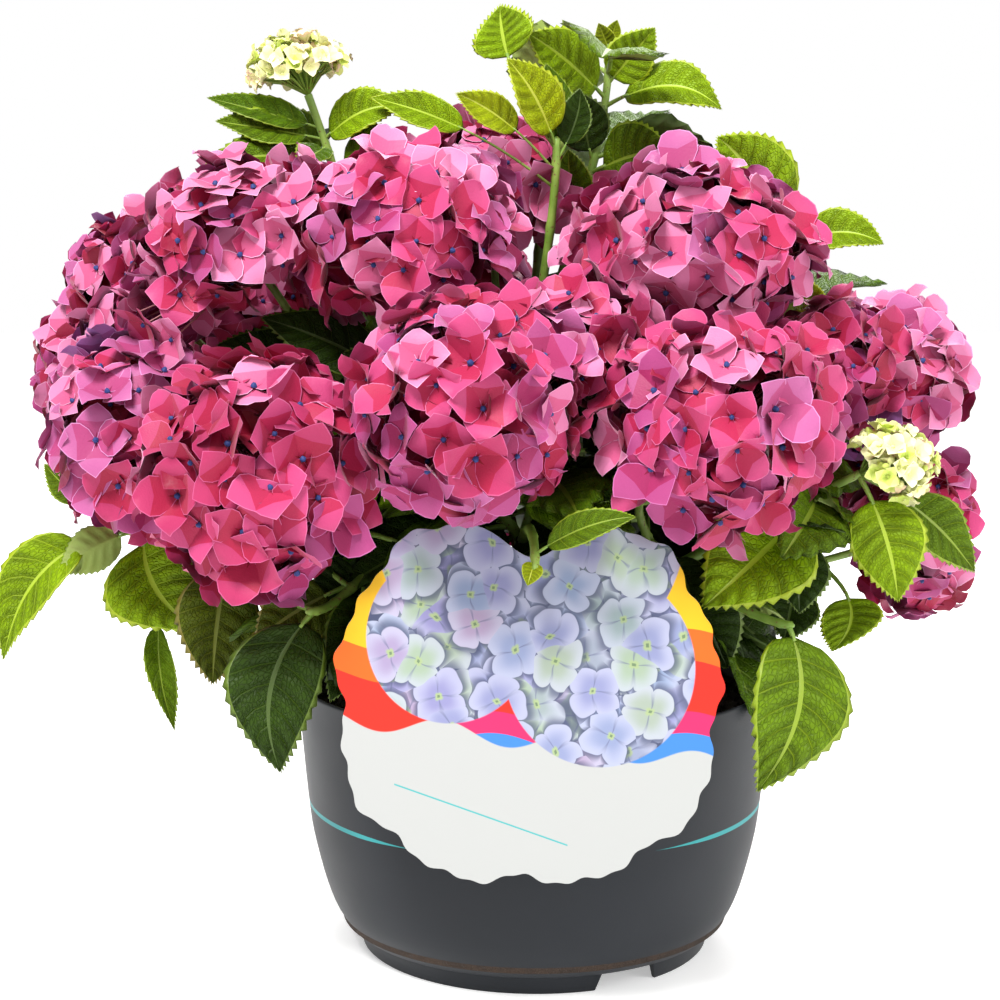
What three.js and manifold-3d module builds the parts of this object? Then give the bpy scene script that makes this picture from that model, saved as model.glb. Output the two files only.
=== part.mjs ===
// A mophead hydrangea in a round nursery pot, with a die-cut label card tucked over the rim.
// Millimetres, +Z up, the pot's front towards -Y. The origin is under the middle of the pot.
//
// The plant grows by one rule: a woody crown on the soil carries canes, each cane forks into
// shoots, and each shoot ends in a flower head, an unripe head or a leafy tip. Leaves stand in
// opposite pairs along the shoots. Every cane, every mass of shoots with its leaves and every
// flower head is a solid of its own, and a small gap parts each from the next.

import * as THREE from 'three';
import { mergeVertices } from 'three/addons/utils/BufferGeometryUtils.js';
import Module from 'manifold-3d';

const wasm = await Module();
wasm.setup();

// ---------------------------------------------------------------- driving dimensions

const SEAT_GAP = 0.3; // between two pieces that touch on the real plant

// Pot
const POT_HEIGHT = 157;
const POT_WALL = 2.2;
const POT_SIDES = 36;
const POT_OUTSIDE = [
  // radius, height: a foot ring, a ledge, a round lower wall and an almost straight upper wall
  [100.5, 0], [103, 10.8], [106.2, 11.4], [112, 18], [117.6, 28], [123.2, 45],
  [128.6, 68], [131, 86], [133.8, 115], [137.3, POT_HEIGHT],
];
const FOOT_RING_WALL = 3;
const FLOOR_UNDERSIDE = 11.6;
const FLOOR_TOP = 14.6;
const POT_INSIDE_HEIGHTS = [FLOOR_TOP, 45, 86, POT_HEIGHT];
const PAD_RADIUS = 28; // the round pad under the floor, level with the foot ring
const NOTCH_HEIGHT = 10;
const NOTCH_WIDTH = 40;
const NOTCH_TOP_WIDTH = 34;
const NOTCH_BEARINGS = [30, 210]; // degrees from the front towards +X
const NOTCH_CUT_DEPTH = 30; // through the foot ring, from outside to inside
const NOTCH_CUT_INSET = 10; // of that, on the inside of the ring
const NOTCH_CUT_BELOW = 1; // past the ring's lower edge

// Soil
const SOIL_EDGE_HEIGHT = 140;
const SOIL_TOP_HEIGHT = 148;
const SOIL_FLAT_RADIUS = 40;

// Woody crown of the shrub, a squat knob on the soil
const CROWN_SIDES = 12;
const CROWN_PROFILE = [[34, 0], [36, 4], [33, 12], [26, 19], [0, 22]];
const CROWN_FOOT_HEIGHT = SOIL_TOP_HEIGHT + SEAT_GAP;

// Canes
const CANE_FOOT_RADIUS = 4.2;
const CANE_TIP_RADIUS = 3.3;
const CANE_SIDES = 6;
const CANE_STEPS = 4;
const CANE_FOOT_HEIGHT = 160;
const OUTER_RING_RADIUS = 26;
const INNER_RING_RADIUS = 9;
const CANE_LEAN = 0.3; // how far out the middle of a cane has come
const CANE_LIFT = 0.62; // how far up it has come by then

// Where each cane forks: x, y, z. Steep canes stand in the inner ring, in order of bearing.
const OUTER_FORKS = {
  front_left: [-75, -45, 225],
  front: [-8, -48, 235],
  front_right: [60, -50, 220],
  right: [100, 0, 212],
  right_back: [85, 52, 230],
  back_right: [48, 75, 235],
  back: [-15, 70, 240],
  back_left: [-60, 50, 250],
  left: [-100, 20, 250],
};
const INNER_FORKS = {
  upper_left: [-55, -15, 265],
  upper_right: [45, -8, 265],
  top: [-5, 30, 275],
};

// Flower heads: the cane that bears them, centre x, y, z and radius
const BLOOMS = {
  front_left: ['front_left', -144, -100, 289, 67],
  left_side: ['front_left', -218, -30, 302, 57],
  front: ['front', -38, -125, 326, 62],
  front_middle: ['front', 22, -75, 351, 43],
  front_right: ['front_right', 92, -110, 313, 62],
  upper_left: ['upper_left', -72, -45, 409, 61],
  left_shoulder: ['upper_left', -164, -20, 407, 53],
  left_high: ['left', -229, 50, 376, 46],
  left_low: ['left', -263, 58, 330, 38],
  left_back: ['back_left', -235, 140, 270, 52],
  upper_right: ['upper_right', 85, -20, 399, 69],
  right_inner: ['upper_right', 167, -10, 337, 39],
  right_high: ['right', 205, 30, 327, 48],
  right_low: ['right', 228, 50, 229, 50],
  top: ['top', -26, 60, 432, 50],
  back_left_high: ['back_left', -150, 120, 345, 58],
  back_left_low: ['back', -120, 205, 265, 56],
  back_middle: ['back', -50, 165, 350, 60],
  back_low: ['back', 0, 225, 255, 58],
  back_right_high: ['back_right', 65, 160, 335, 60],
  back_right_low: ['back_right', 120, 205, 250, 56],
  right_back: ['right_back', 165, 125, 320, 56],
  right_back_low: ['right_back', 205, 135, 255, 46],
};
const UNRIPE_HEADS = {
  unripe_left: ['back_left', -134, 30, 500, 28],
  unripe_right: ['front_right', 191, -50, 287, 29],
  unripe_back: ['back_left', -92, 112, 432, 27],
};

// Shoots with no flower head: the cane, the tip x, y, z and the way the tip points
const LEAFY_SHOOTS = {
  top_tall: ['top', [44, 66, 520], [0, 0, 1]],
  top_fork: ['top', [12, 18, 462], [0, 0, 1]],
  top_back: ['top', [5, 105, 440], [0, 0.2, 1]],
  right_leafy: ['right_back', [150, 62, 405], [0.2, 0, 1]],
  left_leafy: ['left', [-207, 12, 248], [-0.8, 0, 0.6]],
  left_skirt: ['front_left', [-112, -102, 206], [-0.6, -0.7, 0.1]],
  right_skirt: ['front_right', [108, -96, 214], [0.6, -0.7, 0.2]],
  front_stub: ['front', [-2, -150, 246], [0, -0.7, -0.7]],
  back_skirt_left: ['back_left', [-130, 160, 200], [-0.6, 0.7, 0.1]],
  back_skirt_right: ['back_right', [110, 165, 195], [0.6, 0.7, 0.1]],
};

// A ripe ball sinks under its own weight: its height as a share of its width
const HEAD_FLATNESS = {
  upper_right: 0.76, upper_left: 0.88, top: 0.86, left_shoulder: 0.9, front_right: 0.93,
  right_high: 0.9, back_middle: 0.9,
};

// Flower heads turn from the heart of the plant, and a little up
const PLANT_HEART = new THREE.Vector3(-10, 15, 230);
const HEAD_LIFT = 0.25;
const STALK_REACH = 1.12; // of the head's radius, from its centre to the foot of its stalk
const STALK_TOP = 0.5;
const STALK_RADIUS = 2.4;
const FLORET_EDGE = 115; // degrees from the head's axis to its last florets
const FLORET_DIP = 0.82; // of the radius, at a floret's middle
const FLORET_UNEVENNESS = 0.06;
const UNDERSIDE_SHARE = 0.74; // of the radius, where the head has no florets
const UNEVENNESS_GRAIN = 40; // steps across the ball, each with a floret size of its own
const SEAT_MATCH = 0.02; // of the radius: a corner this near to a seat is a floret's middle
const CUT_BLOCK = 400; // side of the block that trims a head where its neighbour begins
const BLOOM_DETAIL = 2; // rings of florets on a head: 32 of them
const UNRIPE_DETAIL = 1;

// Shoots
const SHOOT_FOOT_RADIUS = 3.1;
const SHOOT_TIP_RADIUS = 2.2;
const SHOOT_SIDES = 4;
const SHOOT_STEPS = 4;
const SHOOT_SWEEP = 0.35; // how straight a shoot sets out and arrives
const FORK_STEM = 7; // from the cane's tip to the knob that the shoots leave
const FORK_KNOB_RADIUS = 4.8;
const FORK_SPREAD = 0.55; // how soon a shoot turns from its cane's way to its own

// Leaves: place along the leaf and share of its half width, from the foot of the stalk
const LEAF_STATIONS = [[0.2, 0.06], [0.44, 1], [0.74, 0.74]];
const PAIR_LEAF_STATIONS = [[0.2, 0.08], [0.5, 1]];
const LEAF_RIB = 1.4; // how far the rib stands below the blade
const LEAF_STALK_HALF_WIDTH = 1.2;
const LEAF_FOLD = 0.08; // how far the edges stand above the rib, of the half width
const LEAF_FACE_OUTWARD = 0.8; // how much a leaf faces outward, of how much it faces up
const LEAF_CROSSING = 14; // cubic mm that a leaf may share with its own mass, at its foot

// Leaves that give the crown its outline. Each row: place along the shoot, compass heading
// and rise in degrees, length, width, arch (of the length) and roll about the rib in degrees.
const LEADING_LEAVES = {
  top_tall: [
    [0.86, -155, 38, 62, 30, 0.05, 30],
    [0.86, -9, -3, 68, 26, 0.14, 20],
    [0.95, 19, 35, 36, 24, 0.04, 20],
    [0.95, 160, 48, 24, 12, 0.05, 0],
    [0.7, 30, 5, 61, 36, 0.05, 0],
    [0.7, 116, -3, 40, 30, 0.05, 0],
    [0.55, -30, 32, 70, 24, 0.06, 0],
  ],
  top_fork: [
    [0.97, -145, 56, 54, 28, 0.06, 40],
    [0.97, 175, 71, 80, 30, 0.06, 30],
    [0.9, 76, 62, 59, 20, 0.05, 0],
    [0.85, -166, 28, 108, 20, 0.05, 0],
  ],
  unripe_left: [
    [0.95, -173, 22, 72, 20, 0.04, 0],
    [0.88, 168, 23, 78, 24, 0.06, 0],
    [0.9, -12, 29, 52, 24, 0.16, 20],
    [0.84, -156, 8, 84, 26, 0.1, 10],
    [0.84, -72, 14, 36, 20, 0.1, 0],
    [0.84, 28, 40, 52, 22, 0.06, 0],
  ],
  right_leafy: [
    [0.97, 154, 52, 68, 36, 0.08, 30],
    [0.97, -2, -2, 57, 24, 0.12, 10],
    [0.9, 124, 42, 80, 26, 0.06, 0],
    [0.7, -40, 34, 50, 20, 0.1, 0],
  ],
  left_leafy: [
    [0.97, -162, -36, 128, 26, 0.3, 0],
    [0.97, -178, -22, 75, 28, 0.2, 0],
    [0.85, -82, -28, 92, 50, 0.1, 0],
    [0.95, 174, 19, 80, 20, 0.1, 0],
  ],
  left_skirt: [
    [0.6, 171, -35, 131, 22, 0.25, 0],
    [0.8, 177, -27, 84, 50, 0.1, 0],
    [0.97, -122, -58, 82, 56, 0.12, 0],
  ],
  right_skirt: [[0.97, -80, -66, 98, 56, 0.2, 0]],
  unripe_right: [
    [0.8, -132, -28, 100, 50, 0.08, 0],
    [0.92, -52, -44, 76, 44, 0.2, 0],
    [0.92, 1, -30, 94, 38, 0.2, 0],
  ],
  right_low: [
    [0.85, -92, -24, 92, 34, 0.15, 0],
    [0.6, -94, -28, 62, 30, 0.1, 0],
  ],
  front_stub: [
    [0.9, -8, 20, 52, 22, 0.12, 0],
    [0.93, -113, -40, 18, 14, 0.05, 0],
  ],
  front_right: [[0.4, -68, -14, 70, 20, 0.15, 0]],
  upper_left: [[0.6, -141, 39, 78, 34, 0.08, 0]],
  left_shoulder: [[0.6, -139, 20, 92, 34, 0.05, 0]],
  front_middle: [[0.6, -68, 8, 70, 30, 0.05, 0]],
};

// Pairs of leaves that every shoot bears, where there is room
const PAIR_PLACES = [0.5, 0.72, 0.92];
const PAIR_LENGTH = 72;
const PAIR_LENGTH_SPREAD = 30;
const PAIR_WIDTH_SHARE = 0.56;
const PAIR_RISE = 18;
const PAIR_RISE_SPREAD = 40;
const PAIR_ARCH = 0.1;
const PAIR_SWINGS = [95, 35]; // degrees from the shoot's heading, for each pair and the next
const PAIR_SWING_SPREAD = 20;

// Label card
const CARD_THICKNESS = 0.8;
const CARD_LEAN = 14; // degrees back from upright
const CARD_HALF_WIDTH = 99;
const CARD_HALF_HEIGHT = 93;
const CARD_MIDDLE = [-5, 176]; // x and height of its middle
const CARD_TOP = 264;
const CARD_DIP = [-2, 18, 20]; // x, depth and half width of the dip in its top edge
const CARD_OUTLINE_POINTS = 44;
const CARD_SQUARENESS = 2.4;
const CARD_WAVES = [[9, 2.6, 0.4], [17, 1.5, 1.1]]; // waves round the edge, their depth and start
const TONGUE_WIDTH = 36;
const TONGUE_REACH = 7.4; // past the front of the rim, towards the plant
const TONGUE_FOOT = 141.6;
const TONGUE_OVERLAP = 0.5; // into the card's own sheet
const TONGUE_LIFT = 0.4; // above the rim that it hooks over
const CARD_STANDOFF = 0.1; // from the seat gap at the rim to the back of the card

// ---------------------------------------------------------------- materials

const material = (name, color, roughness) =>
  new THREE.MeshStandardMaterial({ name, color, roughness, metalness: 0, flatShading: true });

const potPlastic = material('pot_plastic', 0x464b50, 0.55);
const soilCrumb = material('soil', 0x241b14, 1);
const cardStock = material('card', 0xe9ebee, 0.6);
const bark = material('bark', 0x8a6b48, 0.85);
const leafGreen = material('leaf', 0x4f7d2a, 0.55);
const petalPink = material('petal', 0xd2467f, 0.7);
const unripeCream = material('unripe', 0xdfe3a6, 0.7);

// ---------------------------------------------------------------- solids

/** A closed solid from a three.js geometry. */
function solidOf(geometry) {
  const bare = geometry.clone();
  bare.deleteAttribute('normal');
  bare.deleteAttribute('uv');
  const merged = mergeVertices(bare, 1e-4);
  const corners = merged.index.array;
  const kept = [];
  for (let i = 0; i < corners.length; i += 3) {
    const [a, b, c] = corners.slice(i, i + 3);
    if (a !== b && b !== c && c !== a) kept.push(a, b, c);
  }
  const mesh = new wasm.Mesh({
    numProp: 3,
    vertProperties: new Float32Array(merged.attributes.position.array),
    triVerts: new Uint32Array(kept),
  });
  return new wasm.Manifold(mesh);
}

/** The largest of a solid's separate bodies, so that no loose scrap is left. */
function largestBody(solid) {
  const bodies = solid.decompose();
  return bodies.reduce((best, body) => (body.volume() > best.volume() ? body : best));
}

/** A named mesh for the scene, from a solid. */
function pieceOf(name, solid, surface) {
  const raw = solid.getMesh();
  const geometry = new THREE.BufferGeometry();
  geometry.setAttribute('position', new THREE.BufferAttribute(raw.vertProperties, 3));
  geometry.setIndex(new THREE.BufferAttribute(raw.triVerts, 1));
  geometry.computeVertexNormals();
  const piece = new THREE.Mesh(geometry, surface);
  piece.name = name;
  return piece;
}

/** A closed solid of revolution about +Z, from radius and height pairs that start and end on it. */
function turned(profile, sides) {
  const points = profile.map(([radius, height]) => new THREE.Vector2(radius, height));
  return solidOf(new THREE.LatheGeometry(points, sides).rotateX(Math.PI / 2));
}

/** A repeatable number from 0 to 1 for each whole number. */
function chance(n) {
  const wave = Math.sin(n * 12.9898 + 78.233) * 43758.5453;
  return wave - Math.floor(wave);
}

const radians = THREE.MathUtils.degToRad;
const vector = (xyz) => new THREE.Vector3(...xyz);

/** Radius of the pot's outside at a height. */
function potRadius(height) {
  const upper = POT_OUTSIDE.findIndex(([, h]) => h >= height);
  if (upper === 0) return POT_OUTSIDE[0][0];
  const [r0, h0] = POT_OUTSIDE[upper - 1];
  const [r1, h1] = POT_OUTSIDE[upper];
  return r0 + ((r1 - r0) * (height - h0)) / (h1 - h0);
}

/** Points up the pot's inside wall, drawn in by an extra gap. */
function potInside(gap) {
  return POT_INSIDE_HEIGHTS.map((height) => [potRadius(height) - POT_WALL - gap, height]);
}

// ---------------------------------------------------------------- pot, soil and card

function makePot() {
  const footInside = POT_OUTSIDE[0][0] - FOOT_RING_WALL;
  let pot = turned([
    [0, 0],
    [PAD_RADIUS, 0],
    [PAD_RADIUS, FLOOR_UNDERSIDE],
    [footInside, FLOOR_UNDERSIDE],
    [footInside, 0],
    ...POT_OUTSIDE,
    ...potInside(0).reverse(),
    [0, FLOOR_TOP],
  ], POT_SIDES);
  for (const bearing of NOTCH_BEARINGS) {
    const gate = new THREE.Shape([
      new THREE.Vector2(-NOTCH_WIDTH / 2, -NOTCH_CUT_BELOW),
      new THREE.Vector2(NOTCH_WIDTH / 2, -NOTCH_CUT_BELOW),
      new THREE.Vector2(NOTCH_TOP_WIDTH / 2, NOTCH_HEIGHT),
      new THREE.Vector2(-NOTCH_TOP_WIDTH / 2, NOTCH_HEIGHT),
    ]);
    const cutter = new THREE.ExtrudeGeometry(gate, { depth: NOTCH_CUT_DEPTH, bevelEnabled: false });
    cutter.rotateX(Math.PI / 2);
    cutter.translate(0, -footInside + NOTCH_CUT_INSET, 0).rotateZ(radians(bearing));
    pot = pot.subtract(solidOf(cutter));
  }
  return pot;
}

function makeSoil() {
  const wall = potInside(SEAT_GAP).filter(([, height]) => height < SOIL_EDGE_HEIGHT);
  wall[0][1] += SEAT_GAP;
  const [r0, h0] = wall.at(-1);
  const [r1, h1] = potInside(SEAT_GAP).at(-1);
  const edge = r0 + ((r1 - r0) * (SOIL_EDGE_HEIGHT - h0)) / (h1 - h0);
  return turned([
    [0, FLOOR_TOP + SEAT_GAP],
    ...wall,
    [edge, SOIL_EDGE_HEIGHT],
    [SOIL_FLAT_RADIUS, SOIL_TOP_HEIGHT],
    [0, SOIL_TOP_HEIGHT],
  ], POT_SIDES);
}

/** Height of the card's top edge, above its middle. */
function cardTop(across) {
  const [place, depth, halfWidth] = CARD_DIP;
  const dip = depth * Math.exp(-(((across + CARD_MIDDLE[0] - place) / halfWidth) ** 2));
  return CARD_TOP - CARD_MIDDLE[1] - dip;
}

/** Half width and height of the card's edge at a turn round its middle. */
function cardEdge(turn) {
  const across = Math.cos(turn);
  const up = Math.sin(turn);
  const reach = (Math.abs(across / CARD_HALF_WIDTH) ** CARD_SQUARENESS
    + Math.abs(up / CARD_HALF_HEIGHT) ** CARD_SQUARENESS) ** (-1 / CARD_SQUARENESS);
  const wave = CARD_WAVES.reduce((sum, [count, depth, start]) =>
    sum + depth * Math.sin(count * turn + start), 0);
  return [across * (reach + wave), up * (reach + wave)];
}

function makeCard() {
  const lean = radians(CARD_LEAN);
  const outline = new THREE.Shape();
  for (let i = 0; i < CARD_OUTLINE_POINTS; i += 1) {
    const [across, up] = cardEdge((i / CARD_OUTLINE_POINTS) * 2 * Math.PI);
    const height = Math.min(up, cardTop(across)) + CARD_MIDDLE[1] - POT_HEIGHT;
    const point = [across + CARD_MIDDLE[0], height / Math.cos(lean)];
    if (i === 0) outline.moveTo(...point);
    else outline.lineTo(...point);
  }
  const sheet = new THREE.ExtrudeGeometry(outline, { depth: CARD_THICKNESS, bevelEnabled: false });
  sheet.rotateX(Math.PI / 2 - lean);
  const rimFront = -potRadius(POT_HEIGHT) - SEAT_GAP;
  sheet.translate(0, rimFront - CARD_STANDOFF, POT_HEIGHT);
  const front = rimFront - TONGUE_OVERLAP;
  const back = rimFront + TONGUE_REACH + CARD_STANDOFF;
  const top = POT_HEIGHT + TONGUE_LIFT + CARD_THICKNESS;
  const over = new THREE.BoxGeometry(TONGUE_WIDTH, back - front, CARD_THICKNESS);
  over.translate(CARD_MIDDLE[0], (front + back) / 2, top - CARD_THICKNESS / 2);
  const down = new THREE.BoxGeometry(TONGUE_WIDTH, CARD_THICKNESS, top - TONGUE_FOOT);
  down.translate(CARD_MIDDLE[0], back - CARD_THICKNESS / 2, (top + TONGUE_FOOT) / 2);
  return solidOf(sheet).add(solidOf(over)).add(solidOf(down));
}

// ---------------------------------------------------------------- crown and canes

/** The woody crown, or the room it needs when grow is the gap round it. */
function makeCrown(grow) {
  const outside = CROWN_PROFILE.map(([radius, height]) => [
    radius === 0 ? 0 : radius + grow,
    CROWN_FOOT_HEIGHT + height + (height === 0 ? 0 : grow),
  ]);
  return turned([[0, CROWN_FOOT_HEIGHT], ...outside], CROWN_SIDES);
}

/** A round tapering limb along a curve, closed by a flat cut at each end. */
function limb(curve, footRadius, tipRadius, sides, steps) {
  const stick = new THREE.CylinderGeometry(tipRadius, footRadius, 1, sides, steps);
  const frames = curve.computeFrenetFrames(steps, false);
  const places = stick.attributes.position;
  for (let i = 0; i < places.count; i += 1) {
    const step = Math.round((places.getY(i) + 0.5) * steps);
    const place = curve.getPointAt(step / steps);
    place.addScaledVector(frames.normals[step], places.getZ(i));
    place.addScaledVector(frames.binormals[step], places.getX(i));
    places.setXYZ(i, place.x, place.y, place.z);
  }
  return solidOf(stick);
}

/** The centre line of each cane in a ring, with its feet evenly spaced round the crown. */
function caneCurves(forks, ringRadius) {
  const names = Object.keys(forks);
  const firstBearing = Math.atan2(forks[names[0]][1], forks[names[0]][0]);
  return names.map((name, i) => {
    const bearing = firstBearing + (2 * Math.PI * i) / names.length;
    const foot = vector([
      ringRadius * Math.cos(bearing), ringRadius * Math.sin(bearing), CANE_FOOT_HEIGHT,
    ]);
    const fork = vector(forks[name]);
    const reach = fork.clone().sub(foot);
    const bend = foot.clone().add(reach.multiply(vector([CANE_LEAN, CANE_LEAN, CANE_LIFT])));
    const heading = fork.clone().sub(bend).normalize();
    const tip = fork.clone().addScaledVector(heading, -SEAT_GAP);
    const curve = new THREE.QuadraticBezierCurve3(foot, bend, tip);
    const knob = fork.clone().addScaledVector(heading, FORK_STEM);
    return [name, { curve, fork, knob, heading }];
  });
}

const canes = Object.fromEntries([
  ...caneCurves(OUTER_FORKS, OUTER_RING_RADIUS),
  ...caneCurves(INNER_FORKS, INNER_RING_RADIUS),
]);

function makeCane({ curve }) {
  const cane = limb(curve, CANE_FOOT_RADIUS, CANE_TIP_RADIUS, CANE_SIDES, CANE_STEPS);
  return largestBody(cane.subtract(makeCrown(SEAT_GAP)));
}

// ---------------------------------------------------------------- flower heads

/** Centre, radius and axis of a flower head. */
function headOf([cane, x, y, z, radius]) {
  const centre = vector([x, y, z]);
  const axis = centre.clone().sub(PLANT_HEART).normalize();
  axis.z += HEAD_LIFT;
  axis.normalize();
  return { cane, centre, radius, axis };
}

const bloomHeads = Object.entries(BLOOMS).map(([name, row]) => [name, headOf(row)]);
const unripeHeads = Object.entries(UNRIPE_HEADS).map(([name, row]) => [name, headOf(row)]);
const heads = Object.fromEntries([...bloomHeads, ...unripeHeads]);

/** A big block that fills everything past a plane. */
function beyond(point, direction) {
  const block = new THREE.BoxGeometry(CUT_BLOCK, CUT_BLOCK, CUT_BLOCK);
  block.translate(0, 0, CUT_BLOCK / 2);
  const turn = new THREE.Quaternion().setFromUnitVectors(new THREE.Vector3(0, 0, 1), direction);
  return solidOf(block.applyQuaternion(turn).translate(point.x, point.y, point.z));
}

/** Where florets sit on a ball: the corners and the face centres of an icosahedron. */
function floretSeats() {
  const places = new THREE.IcosahedronGeometry(1, 0).attributes.position;
  const corners = Array.from({ length: places.count }, (_, i) =>
    new THREE.Vector3().fromBufferAttribute(places, i));
  const centres = [];
  for (let i = 0; i < corners.length; i += 3) {
    const centre = corners[i].clone().add(corners[i + 1]).add(corners[i + 2]);
    centres.push(centre.normalize());
  }
  return [...corners, ...centres];
}

const seats = floretSeats();

/** A flower head: a ball of cupped florets, smaller underneath, and its stalk. */
function makeHead(name, detail) {
  const head = heads[name];
  const { centre, radius, axis } = head;
  const ball = new THREE.IcosahedronGeometry(1, detail);
  const toAxis = new THREE.Quaternion().setFromUnitVectors(new THREE.Vector3(0, 0, 1), axis);
  const places = ball.attributes.position;
  const lowest = Math.cos(radians(FLORET_EDGE));
  const way = new THREE.Vector3();
  for (let i = 0; i < places.count; i += 1) {
    way.fromBufferAttribute(places, i);
    const isFloret = seats.some((seat) => seat.distanceTo(way) < SEAT_MATCH);
    const [column, row] = [way.x, way.y].map((place) => Math.round(UNEVENNESS_GRAIN * place));
    const uneven = chance(column + 3 * row + radius);
    let reach = radius * (isFloret ? FLORET_DIP : 1) * (1 - FLORET_UNEVENNESS * uneven);
    if (way.z < lowest) reach = UNDERSIDE_SHARE * radius;
    way.applyQuaternion(toAxis).multiplyScalar(reach);
    way.z *= HEAD_FLATNESS[name] ?? 1;
    way.add(centre);
    places.setXYZ(i, way.x, way.y, way.z);
  }
  let solid = solidOf(ball);
  const stalkFoot = centre.clone().addScaledVector(axis, SEAT_GAP - STALK_REACH * radius);
  const stalkTop = centre.clone().addScaledVector(axis, -STALK_TOP * radius);
  const stalk = new THREE.LineCurve3(stalkFoot, stalkTop);
  solid = solid.add(limb(stalk, STALK_RADIUS, STALK_RADIUS, SHOOT_SIDES, 1));
  for (const other of Object.values(heads)) {
    const across = other.centre.clone().sub(centre);
    const distance = across.length();
    if (other === head || distance > radius + other.radius + SEAT_GAP) continue;
    const share = (distance + (radius ** 2 - other.radius ** 2) / distance) / 2;
    across.normalize();
    const wall = centre.clone().addScaledVector(across, share - SEAT_GAP / 2);
    solid = solid.subtract(beyond(wall, across));
  }
  return largestBody(solid);
}

// ---------------------------------------------------------------- shoots and leaves

/** The centre line of a shoot, from its cane's fork to its tip. */
function shootCurve(cane, tip, tipHeading) {
  const { knob, heading } = canes[cane];
  const sweep = SHOOT_SWEEP * knob.distanceTo(tip);
  const setOut = tip.clone().sub(knob).normalize().lerp(heading, 1 - FORK_SPREAD).normalize();
  return new THREE.CubicBezierCurve3(
    knob,
    knob.clone().addScaledVector(setOut, sweep),
    tip.clone().addScaledVector(tipHeading, -sweep),
    tip,
  );
}

const shoots = {};
for (const [name, { cane, centre, radius, axis }] of Object.entries(heads)) {
  const tip = centre.clone().addScaledVector(axis, -STALK_REACH * radius);
  shoots[name] = { cane, curve: shootCurve(cane, tip, axis) };
}
for (const [name, [cane, tip, heading]] of Object.entries(LEAFY_SHOOTS)) {
  shoots[name] = { cane, curve: shootCurve(cane, vector(tip), vector(heading).normalize()) };
}

/** A leaf on its stalk: keeled sections along an arched rib, pointed at both ends. */
function leaf(foot, [heading, rise, length, width, arch, roll], stations) {
  const way = new THREE.Vector3(
    Math.cos(radians(rise)) * Math.cos(radians(heading)),
    Math.cos(radians(rise)) * Math.sin(radians(heading)),
    Math.sin(radians(rise)),
  );
  const outward = new THREE.Vector3(foot.x, foot.y, 0).normalize();
  const face = outward.multiplyScalar(LEAF_FACE_OUTWARD).add(new THREE.Vector3(0, 0, 1));
  face.addScaledVector(way, -face.dot(way)).normalize().applyAxisAngle(way, radians(roll));
  const side = new THREE.Vector3().crossVectors(way, face);
  const rib = (along) => foot.clone()
    .addScaledVector(way, along * length)
    .addScaledVector(face, 4 * arch * length * along * (1 - along));
  const points = [foot.clone()];
  for (const [along, share] of stations) {
    const half = Math.max((share * width) / 2, LEAF_STALK_HALF_WIDTH);
    for (const [across, lift] of [[half, LEAF_FOLD * half], [-half, LEAF_FOLD * half], [0, -LEAF_RIB]]) {
      points.push(rib(along).addScaledVector(side, across).addScaledVector(face, lift));
    }
  }
  points.push(rib(1));
  const tip = points.length - 1;
  const faces = [];
  for (let k = 0; k < 3; k += 1) {
    const next = (k + 1) % 3;
    faces.push(0, 1 + k, 1 + next);
    for (let here = 1; here < tip - 3; here += 3) {
      faces.push(here + k, here + 3 + k, here + next);
      faces.push(here + next, here + 3 + k, here + 3 + next);
    }
    faces.push(tip - 3 + k, tip, tip - 3 + next);
  }
  const geometry = new THREE.BufferGeometry().setFromPoints(points);
  geometry.setIndex(faces);
  return solidOf(geometry);
}

/** A point on the straight pieces of a shoot's centre line, so that a leaf's foot is in wood. */
function shootPlace(curve, along) {
  const step = Math.min(Math.floor(along * SHOOT_STEPS), SHOOT_STEPS - 1);
  const before = curve.getPointAt(step / SHOOT_STEPS);
  const after = curve.getPointAt((step + 1) / SHOOT_STEPS);
  return before.lerp(after, along * SHOOT_STEPS - step);
}

/** Whether two solids come nearer to each other than the gap. */
function tooNear(a, b) {
  const boxA = a.boundingBox();
  const boxB = b.boundingBox();
  const apart = [0, 1, 2].some((k) =>
    boxA.min[k] > boxB.max[k] + SEAT_GAP || boxB.min[k] > boxA.max[k] + SEAT_GAP);
  return !apart && a.minGap(b, 2 * SEAT_GAP) < SEAT_GAP;
}

/** Opposite pairs of leaves along a shoot, each pair turned a quarter from the last. */
function pairLeaves(shootName, shootNumber) {
  const { curve } = shoots[shootName];
  return PAIR_PLACES.flatMap((place, pair) => {
    const tangent = curve.getTangent(place);
    const bearing = THREE.MathUtils.radToDeg(Math.atan2(tangent.y, tangent.x));
    return [0, 1].map((side) => {
      const seed = 100 * shootNumber + 10 * pair + side;
      const swing = PAIR_SWINGS[pair % 2] + PAIR_SWING_SPREAD * chance(seed);
      const heading = bearing + (side ? swing : -swing);
      const rise = PAIR_RISE - PAIR_RISE_SPREAD * chance(seed + 3);
      const length = PAIR_LENGTH + PAIR_LENGTH_SPREAD * chance(seed + 5);
      const row = [heading, rise, length, PAIR_WIDTH_SHARE * length, PAIR_ARCH, 0];
      return [place, row];
    });
  });
}

/** Fuses leaves onto the masses, leaving out each leaf that has no room. */
function addLeaves(masses, fixedSolids, shootName, rows, stations) {
  const { cane, curve } = shoots[shootName];
  for (const [place, row] of rows) {
    const blade = leaf(shootPlace(curve, place), row, stations);
    const others = Object.keys(masses).filter((name) => name !== cane);
    const neighbours = [...fixedSolids, ...others.map((name) => masses[name])];
    if (neighbours.some((neighbour) => tooNear(blade, neighbour))) continue;
    const crossing = masses[cane].intersect(blade).volume();
    if (stations === PAIR_LEAF_STATIONS && crossing > LEAF_CROSSING) continue;
    masses[cane] = masses[cane].add(blade);
  }
}

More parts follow.
